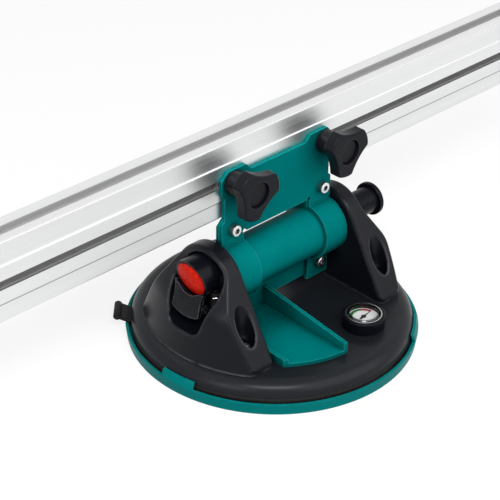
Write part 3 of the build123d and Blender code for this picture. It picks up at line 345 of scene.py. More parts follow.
def powder_coat():
    g = Graph("teal_powder_coat")
    peel = g.noise(scale=420.0, detail=2.0)
    cloud = g.noise(scale=22.0)
    up = g.upward()
    edge_wear_and_highlight = g.wear_and_highlight(radius=0.0009, patches=160.0, spread=(0.30, 0.52))
    # Painted shade: faces that look down are darker.
    underside_shade = 1 - up.between(*UNDERSIDE_SHADE_SLOPE)
    # Painted light: the up-facing tops of the plates are lighter.
    plate_top_light = up.between(*TOP_LIGHT_SLOPE) * g.axis("Z").between(*PLATE_TOP_LIGHT_LEVEL)
    colour = g.mix(cloud.between(*CLOUDS), TEAL_DEEP, TEAL_CLEAR)
    colour = g.mix(underside_shade * 0.65, colour, TEAL_PAINTED_SHADE)
    # Painted shade in corners and under the tube, from a wide occlusion.
    colour = g.mix(g.crevice(reach=0.040) * 0.8, colour, TEAL_PAINTED_SHADE)
    colour = g.mix(plate_top_light, colour, TEAL_TOP_LIGHT)
    # Pale edges: wear, and painted highlight.
    colour = g.mix(edge_wear_and_highlight * 0.85, colour, TEAL_WORN_HIGHLIGHT)
    # Painted shade in narrow gaps between parts.
    colour = g.mix(g.crevice(reach=0.004) * 0.8, colour, TEAL_GAP_SHADE)
    return g.finish(
        Base_Color=colour,
        Roughness=0.34 + 0.10 * cloud + 0.10 * edge_wear_and_highlight,
        Normal=g.bump(peel, strength=0.12, distance=0.0004),
        Specular_IOR_Level=0.008,
    )


teal_coat = powder_coat()
print("made", teal_coat.name)

# %% [markdown]
# ## Teal moulded plastic
# The cover under the cup is moulded in a clearer teal, with a fine spark-eroded grain, dull scuffs and
# pale edges, worn where it is pulled off and put down, and lighter also as painted highlight.

# %% Teal moulded plastic
COVER_TEAL = (0.0, 0.190, 0.188, 1)
COVER_WORN_HIGHLIGHT = (0.04, 0.36, 0.35, 1)


def cover_plastic():
    g = Graph("teal_moulded_plastic")
    grain = g.noise(scale=1400.0, detail=2.0)
    drawn_out = g.stretched((1.0, 1.0, 5.0))
    scuffs = g.noise(scale=70.0, detail=5.0, rough=0.7, place=drawn_out).between(0.58, 0.72)
    # Pale edges: wear, and painted highlight.
    edge_wear_and_highlight = g.wear_and_highlight(radius=0.0010, patches=120.0, spread=(0.40, 0.62))
    return g.finish(
        Base_Color=g.mix(edge_wear_and_highlight * 0.5, COVER_TEAL, COVER_WORN_HIGHLIGHT),
        Roughness=0.36 + 0.14 * scuffs,
        Normal=g.bump(grain, strength=0.10, distance=0.0002),
        Specular_IOR_Level=0.04,
    )


cover_teal = cover_plastic()
print("made", cover_teal.name)

# %% [markdown]
# ## Black plastics
# The base and towers are glass-filled nylon: nearly black, satin, with a fine grain and grey ridges,
# rubbed pale as wear and as painted highlight. The knobs, the lever and the pump take the same recipe
# with another shine. The base takes a lighter copy of it, as painted light, and the knob caps a darker
# one, as painted shade in their sunk holes. The level is how dark the plastic is, and the rub how pale
# its edges are, by wear and painted highlight.

# %% Black plastics
DARK_TINT = (0.82, 0.95)
DARK_BLUE = 0.0024
PALE_TINT = (0.96, 1.0, 1.06)
CLEAN_GAP = 0.005


def black_plastic(name, level, shine, rub_and_highlight, width, gloss):
    """Nearly black nylon, rubbed pale along its edges over a width, as wear and painted highlight, but
    not down in its gaps.
    """
    g = Graph(name)
    grain = g.noise(scale=1600.0, rough=0.6)
    cloud = g.noise(scale=26.0, detail=4.0)
    # Pale edges: wear, and painted highlight.
    edge_wear_and_highlight = g.wear_and_highlight(width, patches=90.0, spread=(0.30, 0.55)) * (1 - g.crevice(CLEAN_GAP))
    dark = (level * DARK_TINT[0], level * DARK_TINT[1], level + DARK_BLUE, 1)
    pale = tuple(rub_and_highlight * tint for tint in PALE_TINT) + (1,)
    return g.finish(
        Base_Color=g.mix(edge_wear_and_highlight, dark, pale),
        Roughness=shine + 0.08 * cloud + 0.06 * grain,
        Normal=g.bump(grain, strength=0.08, distance=0.0002),
        Specular_IOR_Level=gloss,
    )


tower_black = black_plastic("tower_nylon", level=0.0048, shine=0.23, rub_and_highlight=0.14, width=0.0034, gloss=0.14)
lever_black = black_plastic("lever_nylon", level=0.0040, shine=0.23, rub_and_highlight=0.20, width=0.0012, gloss=0.14)
# A lighter copy of the nylon for the base: painted light.
lit_base_black = black_plastic("lit_base_nylon", level=0.0115, shine=0.24, rub_and_highlight=0.030, width=0.0016, gloss=0.14)
knob_black = black_plastic("knob_nylon", level=0.0100, shine=0.22, rub_and_highlight=0.070, width=0.0010, gloss=0.08)
pump_black = black_plastic("pump_nylon", level=0.0036, shine=0.22, rub_and_highlight=0.030, width=0.0016, gloss=0.09)
# A darker copy of the nylon for the sunk caps: painted shade.
shaded_cap_black = black_plastic("shaded_cap_nylon", level=0.0020, shine=0.34, rub_and_highlight=0.006, width=0.0008, gloss=0.14)
blacks = (tower_black, lever_black, lit_base_black, knob_black, pump_black, shaded_cap_black)
print("made", [material.name for material in blacks])

# %% [markdown]
# ## Rubber
# The pad, the hose and the piston seal are black rubber: no clear reflection, a greyish bloom in
# patches, and fine dust.

# %% Rubber
RUBBER_DARK, RUBBER_BLOOM = grey(0.008), grey(0.022)


def soft_rubber():
    g = Graph("soft_rubber")
    bloom = g.noise(scale=34.0, detail=5.0, rough=0.65).between(0.42, 0.70)
    dust = g.noise(scale=900.0, detail=2.0)
    return g.finish(
        Base_Color=g.mix(bloom * 0.5, RUBBER_DARK, RUBBER_BLOOM),
        Roughness=0.55 + 0.16 * bloom,
        Normal=g.bump(dust, strength=0.15, distance=0.0002),
        Specular_IOR_Level=0.15,
    )


rubber = soft_rubber()
print("made", rubber.name)

# %% [markdown]
# ## Red button
# The release button is bright red with a moulded stipple that a thumb can feel. Voronoi cells give the
# stipple: each cell is a small bump, a little brighter at its middle.

# %% Red button plastic
RED_DEEP, RED_BRIGHT = (0.56, 0.010, 0.004, 1), (0.84, 0.020, 0.007, 1)
STIPPLE_SCALE = 560.0


def button_plastic():
    g = Graph("red_button_plastic")
    sockets = {"Vector": g.place, "Scale": STIPPLE_SCALE}
    stipple = g.node("ShaderNodeTexVoronoi", {}, sockets, "Distance")
    cloud = g.noise(scale=180.0, detail=4.0)
    tone = cloud.between(*CLOUDS) * 0.5 + (1 - stipple.between(0.2, 0.7)) * 0.5
    return g.finish(
        Base_Color=g.mix(tone, RED_DEEP, RED_BRIGHT),
        Roughness=0.30 + 0.10 * cloud,
        Normal=g.bump(1 - stipple, strength=0.5, distance=0.0004),
        Specular_IOR_Level=0.06,
    )


button_red = button_plastic()
print("made", button_red.name)

# %% [markdown]
# ## Drawn aluminium
# The rail is pressed through a die and anodised, which leaves long fine lines along it. The lines are
# noise stretched along X, and they change the roughness as well as the height. Inside the slots the
# metal is rougher, less metallic and painted dark as shade, with the floors that look up painted
# lighter, as lit. That part is found by its depth below the nearest outer face, and the sawn ends are
# left out of it. The side slots lie in a band that stands 1 mm proud, with a painted shadow line under
# its lower edge. Sharp edges are painted bright as highlight. The rounded top edges are painted darker
# and made rougher than the sharp ones, so that they don't glare.

# %% Drawn aluminium
BAND_PROUD = 0.001
BAND_RISE = 0.0144
BAND_SHADOW = 0.0017
NEAR_FACE = 0.0004
SLOT_DEPTH = 0.009
SLOT_FADE = 0.0005
SLOT_START = (0.0007, 0.0011)
SAWN_START = (0.0004, 0.0001)
TOP_START = (0.003, 0.002)
LIT_FLOOR_SLOPE, ROUND_SLOPE = (0.4, 0.8), (0.12, 0.95)
SOFT_LINE = 0.0001
METAL_DIM, METAL_CLEAR = (0.68, 0.685, 0.685, 1), (0.86, 0.865, 0.865, 1)
METAL_EDGE_HIGHLIGHT, METAL_ROUND, METAL_SHADOW = grey(0.93), grey(0.60), grey(0.12)
SLOT_WALL_SHADE, SLOT_WALL_TOP_SHADE = grey(0.36), grey(0.48)
SLOT_LIT_FLOOR, SLOT_LIT_FLOOR_TOP = grey(0.56), grey(0.85)


def drawn_aluminium():
    g = Graph("drawn_aluminium")
    low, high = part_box("rail_profile")
    lines = g.noise(scale=420.0, rough=0.6, place=g.stretched((0.012, 1.0, 1.0)))
    bands = g.noise(scale=60.0, detail=2.0, rough=0.5, place=g.stretched((0.02, 1.0, 1.0)))
    cloud = g.noise(scale=9.0)
    y, z, up = g.axis("Y"), g.axis("Z"), g.upward()
    across = g.math("MINIMUM", y - low.y, high.y - y) - BAND_PROUD
    upright = g.math("MINIMUM", z - low.z, high.z - z)
    not_sawn = 1 - abs(g.axis("X")).between(high.x - SAWN_START[0], high.x - SAWN_START[1])
    hidden = g.math("MINIMUM", across, upright).between(*SLOT_START) * not_sawn
    band_edge = low.z + BAND_RISE
    shadow = inside(z, band_edge - BAND_SHADOW, band_edge, SOFT_LINE)
    shadow = shadow * inside(across, -NEAR_FACE, NEAR_FACE, SOFT_LINE) * not_sawn
    top_slot = z.between(high.z - SLOT_DEPTH - SLOT_FADE, high.z - SLOT_DEPTH)
    # Painted shade in the slots: walls darker, up-facing floors lighter as lit.
    wall_shade = g.mix(top_slot, SLOT_WALL_SHADE, SLOT_WALL_TOP_SHADE)
    lit_floors = g.mix(top_slot, SLOT_LIT_FLOOR, SLOT_LIT_FLOOR_TOP)
    slot_light_and_shade = g.mix(up.between(*LIT_FLOOR_SLOPE), wall_shade, lit_floors)
    # Painted highlight along sharp edges.
    edge_highlight = g.edges(radius=0.0006) * (1 - hidden)
    near_top = z.between(high.z - TOP_START[0], high.z - TOP_START[1])
    # Rounded top edges painted darker, so that the lamp's glint there is dimmer.
    rounded = inside(up, *ROUND_SLOPE, soft=0.04) * near_top * not_sawn
    bright = g.mix(bands * 0.6 + lines * 0.4, METAL_DIM, METAL_CLEAR)
    bright = g.mix(edge_highlight, bright, METAL_EDGE_HIGHLIGHT)
    bright = g.mix(rounded, bright, METAL_ROUND)
    bright = g.mix(shadow * 0.65, bright, METAL_SHADOW)
    return g.finish(
        Base_Color=g.mix(hidden, bright, slot_light_and_shade),
        Metallic=1.0 - 0.3 * hidden,
        Roughness=0.30 + 0.14 * lines + 0.06 * cloud + 0.2 * hidden + 0.3 * rounded,
        Normal=g.bump(lines, strength=0.06, distance=0.0002),
    )


aluminium = drawn_aluminium()
print("made", aluminium.name)

# %% [markdown]
# ## Steel, chrome and brass
# Nuts, studs, springs and the screws of the towers are bright zinc-plated steel with a faint cloudiness.
# The hose clip is polished, and the check valve is turned brass.

# %% Bright metals
DIMMED = 0.8


def bright_metal(name, colour, shine, swirl):
    g = Graph(name)
    cloud = g.noise(scale=210.0)
    fine = g.noise(scale=1500.0, detail=2.0)
    dim = tuple(DIMMED * part for part in colour)
    return g.finish(
        Base_Color=g.mix(cloud.between(*CLOUDS), dim + (1,), colour + (1,)),
        Metallic=1.0,
        Roughness=shine + 0.12 * cloud,
        Normal=g.bump(fine, strength=swirl, distance=0.0001),
    )


zinc = bright_metal("zinc_plate", (0.66, 0.66, 0.68), shine=0.22, swirl=0.10)
chrome = bright_metal("polished_chrome", (0.82, 0.82, 0.83), shine=0.08, swirl=0.03)
brass = bright_metal("turned_brass", (0.60, 0.42, 0.16), shine=0.20, swirl=0.10)
print("made", zinc.name, chrome.name, brass.name)

# %% [markdown]
# ## The clamp screws
# The four socket screws have bright heads with fine knurled sides. They share one mesh and sit at the
# corners of a rectangle, so the distance from the nearest head's axis tells the socket, the face and
# the side apart, and the angle round that axis draws the knurls. The socket is painted dark, as the
# shade down in it.

# %% Clamp screws
SCREW_HEAD = 0.0085
HEAD_FRONT = (0.0035, 0.0040)
SOCKET_REACH = (0.0018, 0.0021)
SIDE_START = (0.0004, 0.0001)
KNURLS = 30.0
HEAD_BRIGHT, HEAD_SIDE, SOCKET_SHADE = grey(0.74), grey(0.10), grey(0.03)


def screw_steel():
    g = Graph("screw_steel")
    low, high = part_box("clamp_screws")
    radius = SCREW_HEAD / 2
    z = g.axis("Z")
    middle = (high.z + low.z) / 2
    upper = z.between(middle - SOFT_LINE, middle + SOFT_LINE)
    across = abs(g.axis("X")) - (high.x - radius)
    along = upper * (z - (high.z - radius)) + (1 - upper) * (z - (low.z + radius))
    reach = (across * across + along * along) ** 0.5
    front = 1 - g.axis("Y").between(low.y + HEAD_FRONT[0], low.y + HEAD_FRONT[1])
    # Painted shade in the hex socket.
    socket = (1 - reach.between(*SOCKET_REACH)) * front
    side = reach.between(radius - SIDE_START[0], radius - SIDE_START[1]) * front
    knurl = g.math("SINE", g.math("ARCTAN2", along, across) * KNURLS) * 0.5 + 0.5
    metal = g.mix(side * (0.55 + 0.4 * knurl), HEAD_BRIGHT, HEAD_SIDE)
    return g.finish(
        Base_Color=g.mix(socket, metal, SOCKET_SHADE),
        Metallic=1.0,
        Roughness=0.20 + 0.15 * side + 0.3 * socket,
        Normal=g.bump(knurl * side, strength=0.4, distance=0.0002),
    )


screw_bright = screw_steel()
print("made", screw_bright.name)

# %% [markdown]
# ## The gauge
# The dial is white card with a printed scale: a green arc, a red arc and fine marks. The print is drawn
# by the material from the angle and the distance round the needle's pivot. Round its rim the card is
# painted dark, as the shade of the ring above it.

# %% Dial and needle
dial_low, dial_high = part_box("gauge_dial")
DIAL_CENTRE = (dial_low + dial_high) / 2
GREEN_FROM, GREEN_TO = 149.0, 54.0
RED_TO = 8.0
CARD_REACH = 0.0112
ARC_SHARE = (0.72, 0.93)
MARK_SHARE = (0.60, 0.70)
MARK_STEP = 7.5
MARK_WIDTH = (0.7, 1.1)
MARK_SPARE = 1.0
FULL_TURN = 360.0
CARD_DIM, CARD_WHITE = grey(0.90), grey(0.95)
ARC_GREEN, ARC_RED = (0.0, 0.17, 0.03, 1), (0.42, 0.0, 0.01, 1)
MARK_BLACK, CARD_RIM_SHADE = grey(0.02), grey(0.004)
NEEDLE_DARK, NEEDLE_DUST = grey(0.012), grey(0.02)


def dial_polar(g):
    """Distance from the needle's pivot in metres, and bearing in degrees."""
    x = g.axis("X") - DIAL_CENTRE.x
    y = g.axis("Y") - DIAL_CENTRE.y
    return (x * x + y * y) ** 0.5, g.math("ARCTAN2", y, x) * (180 / math.pi)


def dial_print():
    g = Graph("dial_print")
    reach, angle = dial_polar(g)
    arc = inside(reach, ARC_SHARE[0] * CARD_REACH, ARC_SHARE[1] * CARD_REACH, soft=0.00008)
    marks = inside(reach, MARK_SHARE[0] * CARD_REACH, MARK_SHARE[1] * CARD_REACH, soft=0.00005)
    off_mark = g.math("PINGPONG", angle + FULL_TURN, MARK_STEP)
    in_scale = inside(angle, RED_TO - MARK_SPARE, GREEN_FROM + MARK_SPARE, soft=0.2)
    marks = marks * (1 - off_mark.between(*MARK_WIDTH)) * in_scale
    fibre = g.noise(scale=300.0, detail=2.0)
    colour = g.mix(fibre, CARD_DIM, CARD_WHITE)
    colour = g.mix(arc * inside(angle, GREEN_TO, GREEN_FROM, soft=0.5), colour, ARC_GREEN)
    colour = g.mix(arc * inside(angle, RED_TO, GREEN_TO, soft=0.5), colour, ARC_RED)
    colour = g.mix(marks, colour, MARK_BLACK)
    # Painted shade round the card's rim.
    rim_shade = reach.between(CARD_REACH - SOFT_LINE, CARD_REACH + SOFT_LINE)
    return g.finish(Base_Color=g.mix(rim_shade, colour, CARD_RIM_SHADE), Roughness=0.5 + 0.1 * fibre)


def needle_paint():
    g = Graph("needle_paint")
    fine = g.noise(scale=800.0, detail=2.0)
    return g.finish(Base_Color=g.mix(fine, NEEDLE_DARK, NEEDLE_DUST), Roughness=0.35 + 0.1 * fine)


dial_card = dial_print()
needle_black = needle_paint()
print("made", dial_card.name, needle_black.name)

# %% [markdown]
# The ring round the dial is black with one thin polished line. The lens over it is clear in the middle
# and painted dark along its edge, as shade. Alpha makes it clear, because a glass shader would need
# light to pass through two faces to reach the card.

# %% Bezel and lens
RING_INNER, RING_OUTER = 0.0126, 0.0132
RING_BLACK, RING_BRIGHT = grey(0.004), grey(0.72)
WINDOW_REACH = 0.01
WINDOW_EDGE = 0.00005
LENS_EDGE_SHADE = grey(0.004)


def bezel_ring():
    g = Graph("bezel_ring")
    reach, _ = dial_polar(g)
    line = inside(reach, RING_INNER, RING_OUTER, soft=0.00006)
    fine = g.noise(scale=900.0, detail=2.0)
    return g.finish(
        Base_Color=g.mix(line, RING_BLACK, RING_BRIGHT),
        Metallic=line,
        Roughness=0.16 + 0.12 * fine,
        Specular_IOR_Level=0.12,
    )


def lens_glass():
    g = Graph("lens_glass")
    reach, _ = dial_polar(g)
    smear = g.noise(scale=120.0)
    # The edge is painted dark as shade, and its alpha lets it show.
    edge = reach.between(WINDOW_REACH, WINDOW_REACH + WINDOW_EDGE)
    return g.finish(
        Base_Color=LENS_EDGE_SHADE,
        Roughness=0.06 + 0.05 * smear.between(0.5, 0.75),
        Specular_IOR_Level=0.4,
        Alpha=0.05 + 0.6 * edge,
    )


bezel_black = bezel_ring()
lens_clear = lens_glass()
print("made", bezel_black.name, lens_clear.name)

# %% [markdown]
# ## Shaping helpers
# New pieces are drawn in millimetres, which are easier to read. Most of them are round, so one helper
# spins an outline about Z. Bevelled edges catch light as real ones do.

# %% Shaping helpers
MM = 0.001
WELD = 1e-5


def centre_mm(node):
    """The middle of a node's box, in millimetres."""
    low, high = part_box(node)
    return (low + high) / 2 / MM


def turn(shape, angle, axis):
    """Turns a whole bmesh about an axis through the origin."""
    bmesh.ops.rotate(shape, cent=(0, 0, 0), matrix=Matrix.Rotation(angle, 3, axis), verts=shape.verts)


def move(shape, push):
    bmesh.ops.translate(shape, vec=push, verts=shape.verts)


def lathe(outline, steps):
    """A closed shell, spun from (radius, height) points that end on the axis or where they began."""
    shape = bmesh.new()
    points = [shape.verts.new((radius, 0.0, height)) for radius, height in outline]
    edges = [shape.edges.new(pair) for pair in zip(points, points[1:])]
    bmesh.ops.spin(
        shape, geom=points + edges, cent=(0, 0, 0), axis=(0, 0, 1),
        angle=2 * math.pi, steps=steps, use_merge=True,
    )
    bmesh.ops.remove_doubles(shape, verts=shape.verts, dist=WELD)
    bmesh.ops.recalc_face_normals(shape, faces=shape.faces)
    return shape


def bevel(shape, edges, width, segments=3):
    bmesh.ops.bevel(
        shape, geom=edges, offset=width, offset_type="OFFSET", segments=segments, profile=0.5,
        affect="EDGES", material=-1, clamp_overlap=True,
    )


def sharp_edges(shape, degrees):
    return [edge for edge in shape.edges if edge.calc_face_angle(0.0) > math.radians(degrees)]


def add_shape(whole, other):
    """Moves the faces of one bmesh into another."""
    carrier = bpy.data.meshes.new("carrier")
    other.to_mesh(carrier)
    other.free()
    whole.from_mesh(carrier)
    bpy.data.meshes.remove(carrier)


print("the cup's base is centred at", [round(value, 2) for value in centre_mm("base_body")])

# %% [markdown]
# A shape becomes a piece at the end: it is scaled to metres, shaded smooth, and given its material and
# the body that it moves with. Edges that turn by more than 40 degrees stay sharp in the shading.

# %% Finished pieces
SHARP_SHADING = 40


def finished_piece(name, shape, material, body):
    """Turns a bmesh in millimetres into a piece that rides a body."""
    bmesh.ops.scale(shape, vec=(MM, MM, MM), verts=shape.verts)
    for face in shape.faces:
        face.smooth = True
    for edge in sharp_edges(shape, SHARP_SHADING):
        edge.smooth = False
    data = bpy.data.meshes.new(name)
    shape.to_mesh(data)
    shape.free()
    data.materials.append(material)
    piece = bpy.data.objects.new(name, data)
    bpy.context.collection.objects.link(piece)
    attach(piece, body)
    return piece


# %% [markdown]
# ## The rubber pad
# The pad is one moulding: a thick disc with a soft rounded rim, four sealing lips below, and a tab at
# its edge that a thumb pulls to let air in. A disc could be cut from a cylinder, but the rim and the
# lips are easier as one outline that is spun round the axis.

# %% Rubber disc
PAD_OUTLINE = [
    (0.0, 11.25), (100.9, 11.25), (102.4, 11.0), (103.4, 10.2), (103.8, 9.2), (103.8, 7.6),
    (103.3, 7.1), (103.3, 6.5), (103.8, 6.0), (103.8, 3.6), (103.4, 2.3), (102.4, 1.65),
    (100.8, 1.65), (100.5, 3.1), (99.1, 3.1), (98.8, 1.65), (96.8, 1.65), (96.5, 3.1),
    (95.1, 3.1), (94.8, 1.65), (92.8, 1.65), (92.5, 3.1), (91.1, 3.1), (90.8, 1.65),
    (88.4, 1.65), (87.8, 2.4), (87.4, 5.2), (86.6, 5.6), (0.0, 5.6),
]
PAD_STEPS = 160

pad_shape = lathe(PAD_OUTLINE, PAD_STEPS)
print("disc faces:", len(pad_shape.faces))

# %% [markdown]
# The tab starts as a block with bevelled edges. Its long edges are subdivided, so that there are points
# to bend it by, and a short bevelled roll along its tip makes the bead.

# %% Strip and bead of the tab
TAB_WIDTH = 19.0
TAB_THICKNESS = 2.6
TAB_ROOT = 98.0
TAB_BEND = 104.5
TAB_REACH = 12.8
TAB_UNDERSIDE = 7.9
TAB_CUTS = 14
TAB_EDGE = 0.9
TAB_BEAD = 5.8
BEAD_INSET = 1.0
BEAD_SIDES = 24
BLOCK_CORNER = 60


def tab_strip():
    """The flat strip, with enough cuts along it to bend."""
    length = TAB_BEND + TAB_REACH - TAB_ROOT
    strip = bmesh.new()
    bmesh.ops.create_cube(strip, size=1)
    bmesh.ops.scale(strip, vec=(length, TAB_WIDTH, TAB_THICKNESS), verts=strip.verts)
    move(strip, (TAB_ROOT + length / 2, 0, TAB_UNDERSIDE + TAB_THICKNESS / 2))
    bevel(strip, sharp_edges(strip, BLOCK_CORNER), TAB_EDGE)
    long_edges = [edge for edge in strip.edges if edge.calc_length() > length / 2]
    bmesh.ops.subdivide_edges(strip, edges=long_edges, cuts=TAB_CUTS, use_grid_fill=True)
    return strip


def tab_bead():
    """The roll along the tip."""
    radius = TAB_BEAD / 2
    bead = bmesh.new()
    bmesh.ops.create_cone(
        bead, cap_ends=True, segments=BEAD_SIDES, radius1=radius, radius2=radius,
        depth=TAB_WIDTH - BEAD_INSET,
    )
    bevel(bead, sharp_edges(bead, BLOCK_CORNER), TAB_EDGE)
    turn(bead, math.pi / 2, "X")
    move(bead, (TAB_BEND + TAB_REACH - radius, 0, TAB_UNDERSIDE + TAB_THICKNESS / 2))
    return bead


tab_shape = tab_strip()
add_shape(tab_shape, tab_bead())
print("tab points:", len(tab_shape.verts))

# %% [markdown]
# The tab lies flat so far. Each point is moved along the bend, which runs over the rim, and the whole
# tab is then turned to its place.

# %% Bend of the tab
TAB_BEARING = math.radians(136)
TAB_RISE = math.radians(22)
TAB_BEND_LENGTH = 2.0


def bend_tab(tab):
    """Bends the flat tab up over the rim and turns it to its place."""
    middle = TAB_UNDERSIDE + TAB_THICKNESS / 2
    for point in tab.verts:
        out = point.co.x - TAB_BEND
        rise = TAB_RISE * min(max(out / TAB_BEND_LENGTH + 0.5, 0.0), 1.0)
        height = point.co.z - middle
        point.co.x = TAB_BEND + out * math.cos(rise) - height * math.sin(rise)
        point.co.z = middle + max(out, 0.0) * math.sin(rise) + height * math.cos(rise)
    turn(tab, TAB_BEARING, "Z")


bend_tab(tab_shape)
add_shape(pad_shape, tab_shape)
soft_pad = finished_piece("soft_pad", pad_shape, rubber, "cup")
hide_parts("rubber_pad")
print("pad faces:", len(soft_pad.data.polygons))

# %% [markdown]
# ## The gauge's lens
# The lens is a moulded dome with a wide bevel, which stands a little above the ring. The bevel is what
# catches the light: a bright crescent on the side towards the lamp. Elsewhere it is black, because the
# edge is painted dark as shade. A flat disc would show none of that. The clear window and the dark edge
# are two closed shells, each spun from its own outline, because the back of the bevel would mirror
# white light through one clear shell.

# %% Gauge lens
lens_low, lens_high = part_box("gauge_lens")
LENS_RADIUS = (lens_high.x - lens_low.x) / 2 / MM
LENS_STEPS = 96
WINDOW_OUTLINE = [(0.0, 2.9), (6.0, 2.86), (9.6, 2.76), (10.0, 2.73), (10.0, 2.3), (0.0, 2.3)]
EDGE_OUTLINE = [
    (10.05, 2.3), (10.05, 2.72), (10.4, 2.62), (10.5, 2.516), (11.3, 1.602), (11.4, 1.476),
    (LENS_RADIUS, 0.9), (LENS_RADIUS, 0.0), (11.2, 0.0), (10.05, 2.3),
]
lens_shape = lathe(WINDOW_OUTLINE, LENS_STEPS)
add_shape(lens_shape, lathe(EDGE_OUTLINE, LENS_STEPS))
move(lens_shape, Vector((DIAL_CENTRE.x, DIAL_CENTRE.y, lens_low.z)) / MM)
domed_lens = finished_piece("domed_lens", lens_shape, lens_clear, "cup")
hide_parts("gauge_lens")
print("lens radius", round(LENS_RADIUS, 2), "mm")

# %% [markdown]
# ## The knob caps
# A round plug closes the hole over each knob's stud. It sits well below the face, so the wall of the
# hole shows as a dark crescent. The plug is a darker copy of the knob's nylon, painted shade for its
# sunk place. One outline with a slightly hollow face and a rounded edge is spun, and then turned so
# that its axis lies along the stud.

# %% Knob caps
CAP_OUTLINE = [(0.0, 0.65), (6.0, 0.70), (8.6, 0.80), (9.2, 0.72), (9.5, 0.45), (9.5, 0.0), (0.0, 0.0)]
CAP_STEPS = 64


def knob_cap(side):
    node = f"knob_{side}_cap"
    centre = centre_mm(node)
    cap = lathe(CAP_OUTLINE, CAP_STEPS)
    turn(cap, math.pi / 2, "X")
    move(cap, (centre.x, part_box(node)[1].y / MM, centre.z))
    piece = finished_piece(f"sunk_cap_{side}", cap, shaded_cap_black, f"knob_{side}")
    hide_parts(node)
    return piece


caps = [knob_cap(side) for side in ("left", "right")]
print("caps:", [len(cap.data.polygons) for cap in caps])

# %% [markdown]
# ## The release lever
# Under the button a thumb lever hangs on a pin. Its shield has a hollow lip that follows the button,
# two horns and soft bevelled edges. Half of its outline is listed and mirrored, then the face is
# extruded and its front edge bevelled.

# %% Lever shield
SHIELD_HALF = [
    (0.0, -0.4), (4.0, -0.8), (8.0, -2.1), (11.0, -3.7), (13.2, -5.4), (14.3, -6.5), (14.8, -6.4),
    (14.6, -5.4), (13.7, -3.2), (13.1, -0.5), (12.9, 4.0), (13.2, 11.8), (12.8, 13.0), (9.5, 14.4),
    (5.0, 15.4), (0.0, 15.8),
]
SHIELD_PLACE = Vector((-83.4, 0.0, 65.7))
SHIELD_TILT = math.radians(14)
SHIELD_THICKNESS = 2.8
SHIELD_BEVEL = 1.0


def outline_face(shape, points):
    """One flat face inside a closed loop of new points."""
    loop = [shape.verts.new(point) for point in points]
    return bmesh.ops.contextual_create(shape, geom=loop)["faces"][0]


def thicken(shape, face, push):
    """Extrudes a face into a slab and gives the edges of the face that moved."""
    made = bmesh.ops.extrude_face_region(shape, geom=[face], use_keep_orig=True)["geom"]
    moved = [item for item in made if isinstance(item, bmesh.types.BMVert)]
    bmesh.ops.translate(shape, vec=push, verts=moved)
    return [item for item in made if isinstance(item, bmesh.types.BMEdge)]


def lever_shield():
    """The shield, drawn flat with its front at height 0 and then stood up under the button."""
    lean, rise = math.sin(SHIELD_TILT), math.cos(SHIELD_TILT)
    mirrored = [(-across, down) for across, down in SHIELD_HALF[-2:0:-1]]
    outline = [(across, down, -SHIELD_THICKNESS) for across, down in SHIELD_HALF + mirrored]
    shield = bmesh.new()
    front = thicken(shield, outline_face(shield, outline), (0, 0, SHIELD_THICKNESS))
    bmesh.ops.recalc_face_normals(shield, faces=shield.faces)
    bevel(shield, front, SHIELD_BEVEL)
    stand = Matrix(((0, 1, 0), (-lean, 0, -rise), (-rise, 0, lean))).transposed().to_4x4()
    bmesh.ops.transform(shield, matrix=Matrix.Translation(SHIELD_PLACE) @ stand, verts=shield.verts)
    return shield


lever_shape = lever_shield()
print("shield faces:", len(lever_shape.faces))

# %% [markdown]
# Two arms carry the shield. They are cut from a side view, and each ends in a spun ring round the pin.

# %% Lever arms
ARM_WIDTH = 2.6
ARM_OFFSET = 4.7
ARM_OUTLINE = [(-74.2, 48.3), (-74.2, 53.1), (-82.2, 63.6), (-85.0, 52.3)]
PIN_RING = [(1.6, -1.3), (3.2, -1.3), (3.2, 1.3), (1.6, 1.3), (1.6, -1.3)]
RING_STEPS = 32


def lever_arm(side):
    """One arm beside the middle, with the ring that turns on the pin."""
    pin = centre_mm("lever_pin")
    near = side * ARM_OFFSET - ARM_WIDTH / 2
    arm = bmesh.new()
    thicken(arm, outline_face(arm, [(x, near, z) for x, z in ARM_OUTLINE]), (0, ARM_WIDTH, 0))
    ring = lathe(PIN_RING, RING_STEPS)
    turn(ring, math.pi / 2, "X")
    move(ring, (pin.x, side * ARM_OFFSET, pin.z))
    add_shape(arm, ring)
    bmesh.ops.recalc_face_normals(arm, faces=arm.faces)
    return arm


for side in (-1, 1):
    add_shape(lever_shape, lever_arm(side))
thumb_lever = finished_piece("thumb_lever", lever_shape, lever_black, "lever")
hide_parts("release_lever")
print("lever faces:", len(thumb_lever.data.polygons))

# %% [markdown]
# ## The hose
# A short rubber sleeve carries the vacuum down inside the left tower. It is pushed over a barb at each
# end, so it swells there a little. A ring outline with rounded ends is spun into a tube.

# %% Hose sleeve
HOSE_OUTER, HOSE_BORE = 4.0, 2.5
HOSE_ROUND = 0.3
HOSE_WAIST = 0.2
BARB_REACH = 9.0
BARB_TAPER = 12.0
HOSE_STEPS = 40


